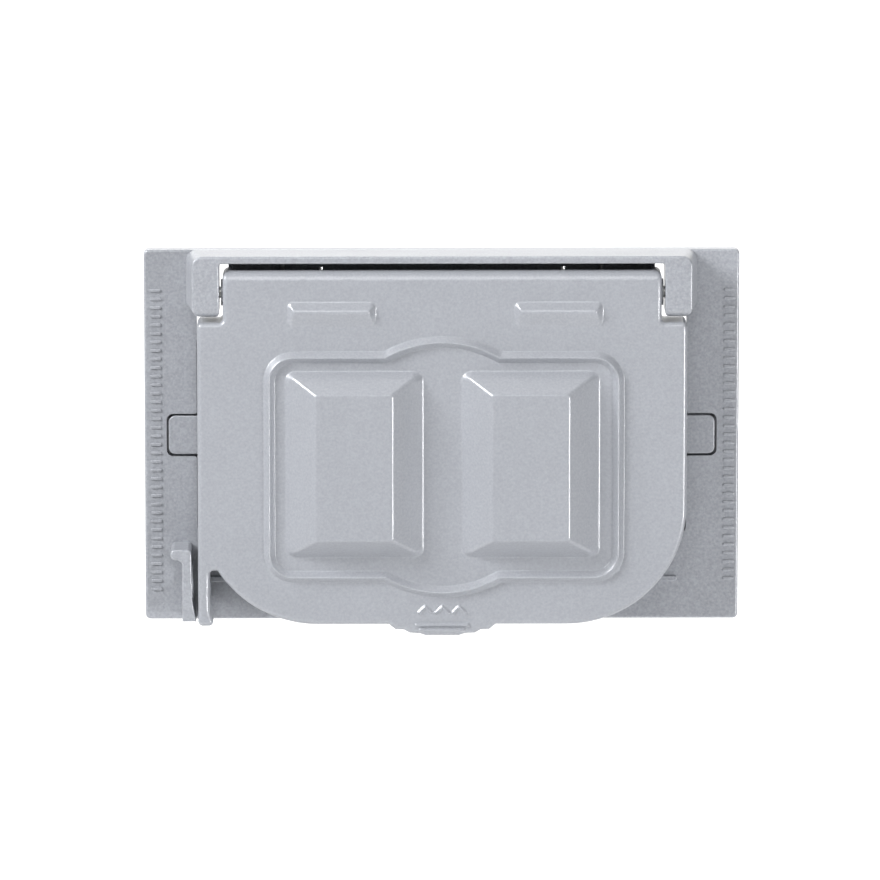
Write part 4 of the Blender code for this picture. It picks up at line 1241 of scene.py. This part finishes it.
ROOM_LIGHT = 0.1
BACKDROP_LIGHT = 0.8
FLOOR_Z = -0.5                 # metres
FLOOR_RADIUS = 8.0
CAMERA_TARGET = (-0.34, -5.0, -1.05)
CAMERA_DISTANCE = 1.5          # metres
CAMERA_AZIMUTH = -0.55         # degrees
CAMERA_ELEVATION = 9.0
CAMERA_LENS = 314.2
SOFTBOXES = {                  # place and target in metres, width, power in watts
    "left_softbox": ((-0.8, -0.46, 0.58), (0, 0, 0), 0.45, 17.4),
    "front_softbox": ((-0.05, -0.75, 0.5), (0, 0, 0), 0.45, 2.3),
    "right_strip": ((0.8, -0.75, -0.16), (0, 0, 0), 0.22, 7.2),
    "top_softbox": ((0.0, 0.1, 1.5), (0, 0, 0), 0.8, 3.0),
    "floor_softbox": ((0.0, 4.0, 1.9), (0, 4.0, FLOOR_Z), 4.8, 220.0),
}


def make_floor():
    bpy.ops.mesh.primitive_circle_add(vertices=96, radius=FLOOR_RADIUS, fill_type="NGON",
                                      location=(0, 0, FLOOR_Z))
    floor = bpy.context.object
    floor.name = "floor"
    material, _, _ = new_material("floor_white", (0.9, 0.9, 0.9), 0.9)
    floor.data.materials.append(material)


def make_world():
    """A white backdrop behind the cover, and a dimmer room in front of it."""
    world = bpy.data.worlds.new("studio")
    world.use_nodes = True
    tree = world.node_tree
    background = tree.nodes["Background"]
    background.inputs["Strength"].default_value = 1.0
    place = tree.nodes.new("ShaderNodeTexCoord")
    split = tree.nodes.new("ShaderNodeSeparateXYZ")
    tree.links.new(place.outputs["Generated"], split.inputs["Vector"])
    level = spread(tree, split.outputs["Y"], ROOM_LIGHT, BACKDROP_LIGHT, 0.6, 0.9)
    tree.links.new(level, background.inputs["Color"])
    bpy.context.scene.world = world


def add_softbox(name, place, target, size, power):
    """A square light at place, facing target."""
    data = bpy.data.lights.new(name, "AREA")
    data.shape = "SQUARE"
    data.size = size
    data.energy = power
    light = linked(name, data)
    light.location = place
    light.rotation_euler = (Vector(target) - Vector(place)).to_track_quat("-Z", "Y").to_euler()


def make_camera():
    """A long lens, a little above the cover and a little to its left."""
    azimuth = math.radians(CAMERA_AZIMUTH)
    elevation = math.radians(CAMERA_ELEVATION)
    away = Vector((math.sin(azimuth) * math.cos(elevation), -math.cos(azimuth) * math.cos(elevation),
                   math.sin(elevation)))
    data = bpy.data.cameras.new("camera")
    data.sensor_width = 36.0
    data.lens = CAMERA_LENS
    data.clip_start = 0.05
    data.clip_end = 30.0
    camera = linked("camera", data)
    camera.location = Vector(CAMERA_TARGET) * MM + away * CAMERA_DISTANCE
    camera.rotation_euler = (-away).to_track_quat("-Z", "Y").to_euler()
    bpy.context.scene.camera = camera


make_camera()
make_world()
make_floor()
for name, softbox in SOFTBOXES.items():
    add_softbox(name, *softbox)
bpy.context.scene.view_settings.view_transform = "Standard"

smooth_paint = make_paint("lid_enamel", 0.8)
cast_paint = make_paint("plate_enamel", 2.6)
steel = make_steel("zinc_plated_steel")
rubber = make_rubber("gasket_rubber")
foam = make_foam("gasket_foam")
fibre = make_fibre("washer_fibre")

make_wall_gasket(rubber)
make_device_gasket(foam)
make_base_plate(cast_paint)
make_adapter(cast_paint)
make_lid(smooth_paint)
make_lid_gasket(foam)
make_pin(steel)
make_spring("spring_left", "lid_spring_left", -1, steel)
make_spring("spring_right", "lid_spring_right", 1, steel)
for node, (x, length, retainer) in SCREWS.items():
    make_screw(f"{node}_threaded", node, x, length, steel)
    make_retainer(f"{retainer}_washer", retainer, x, fibre)
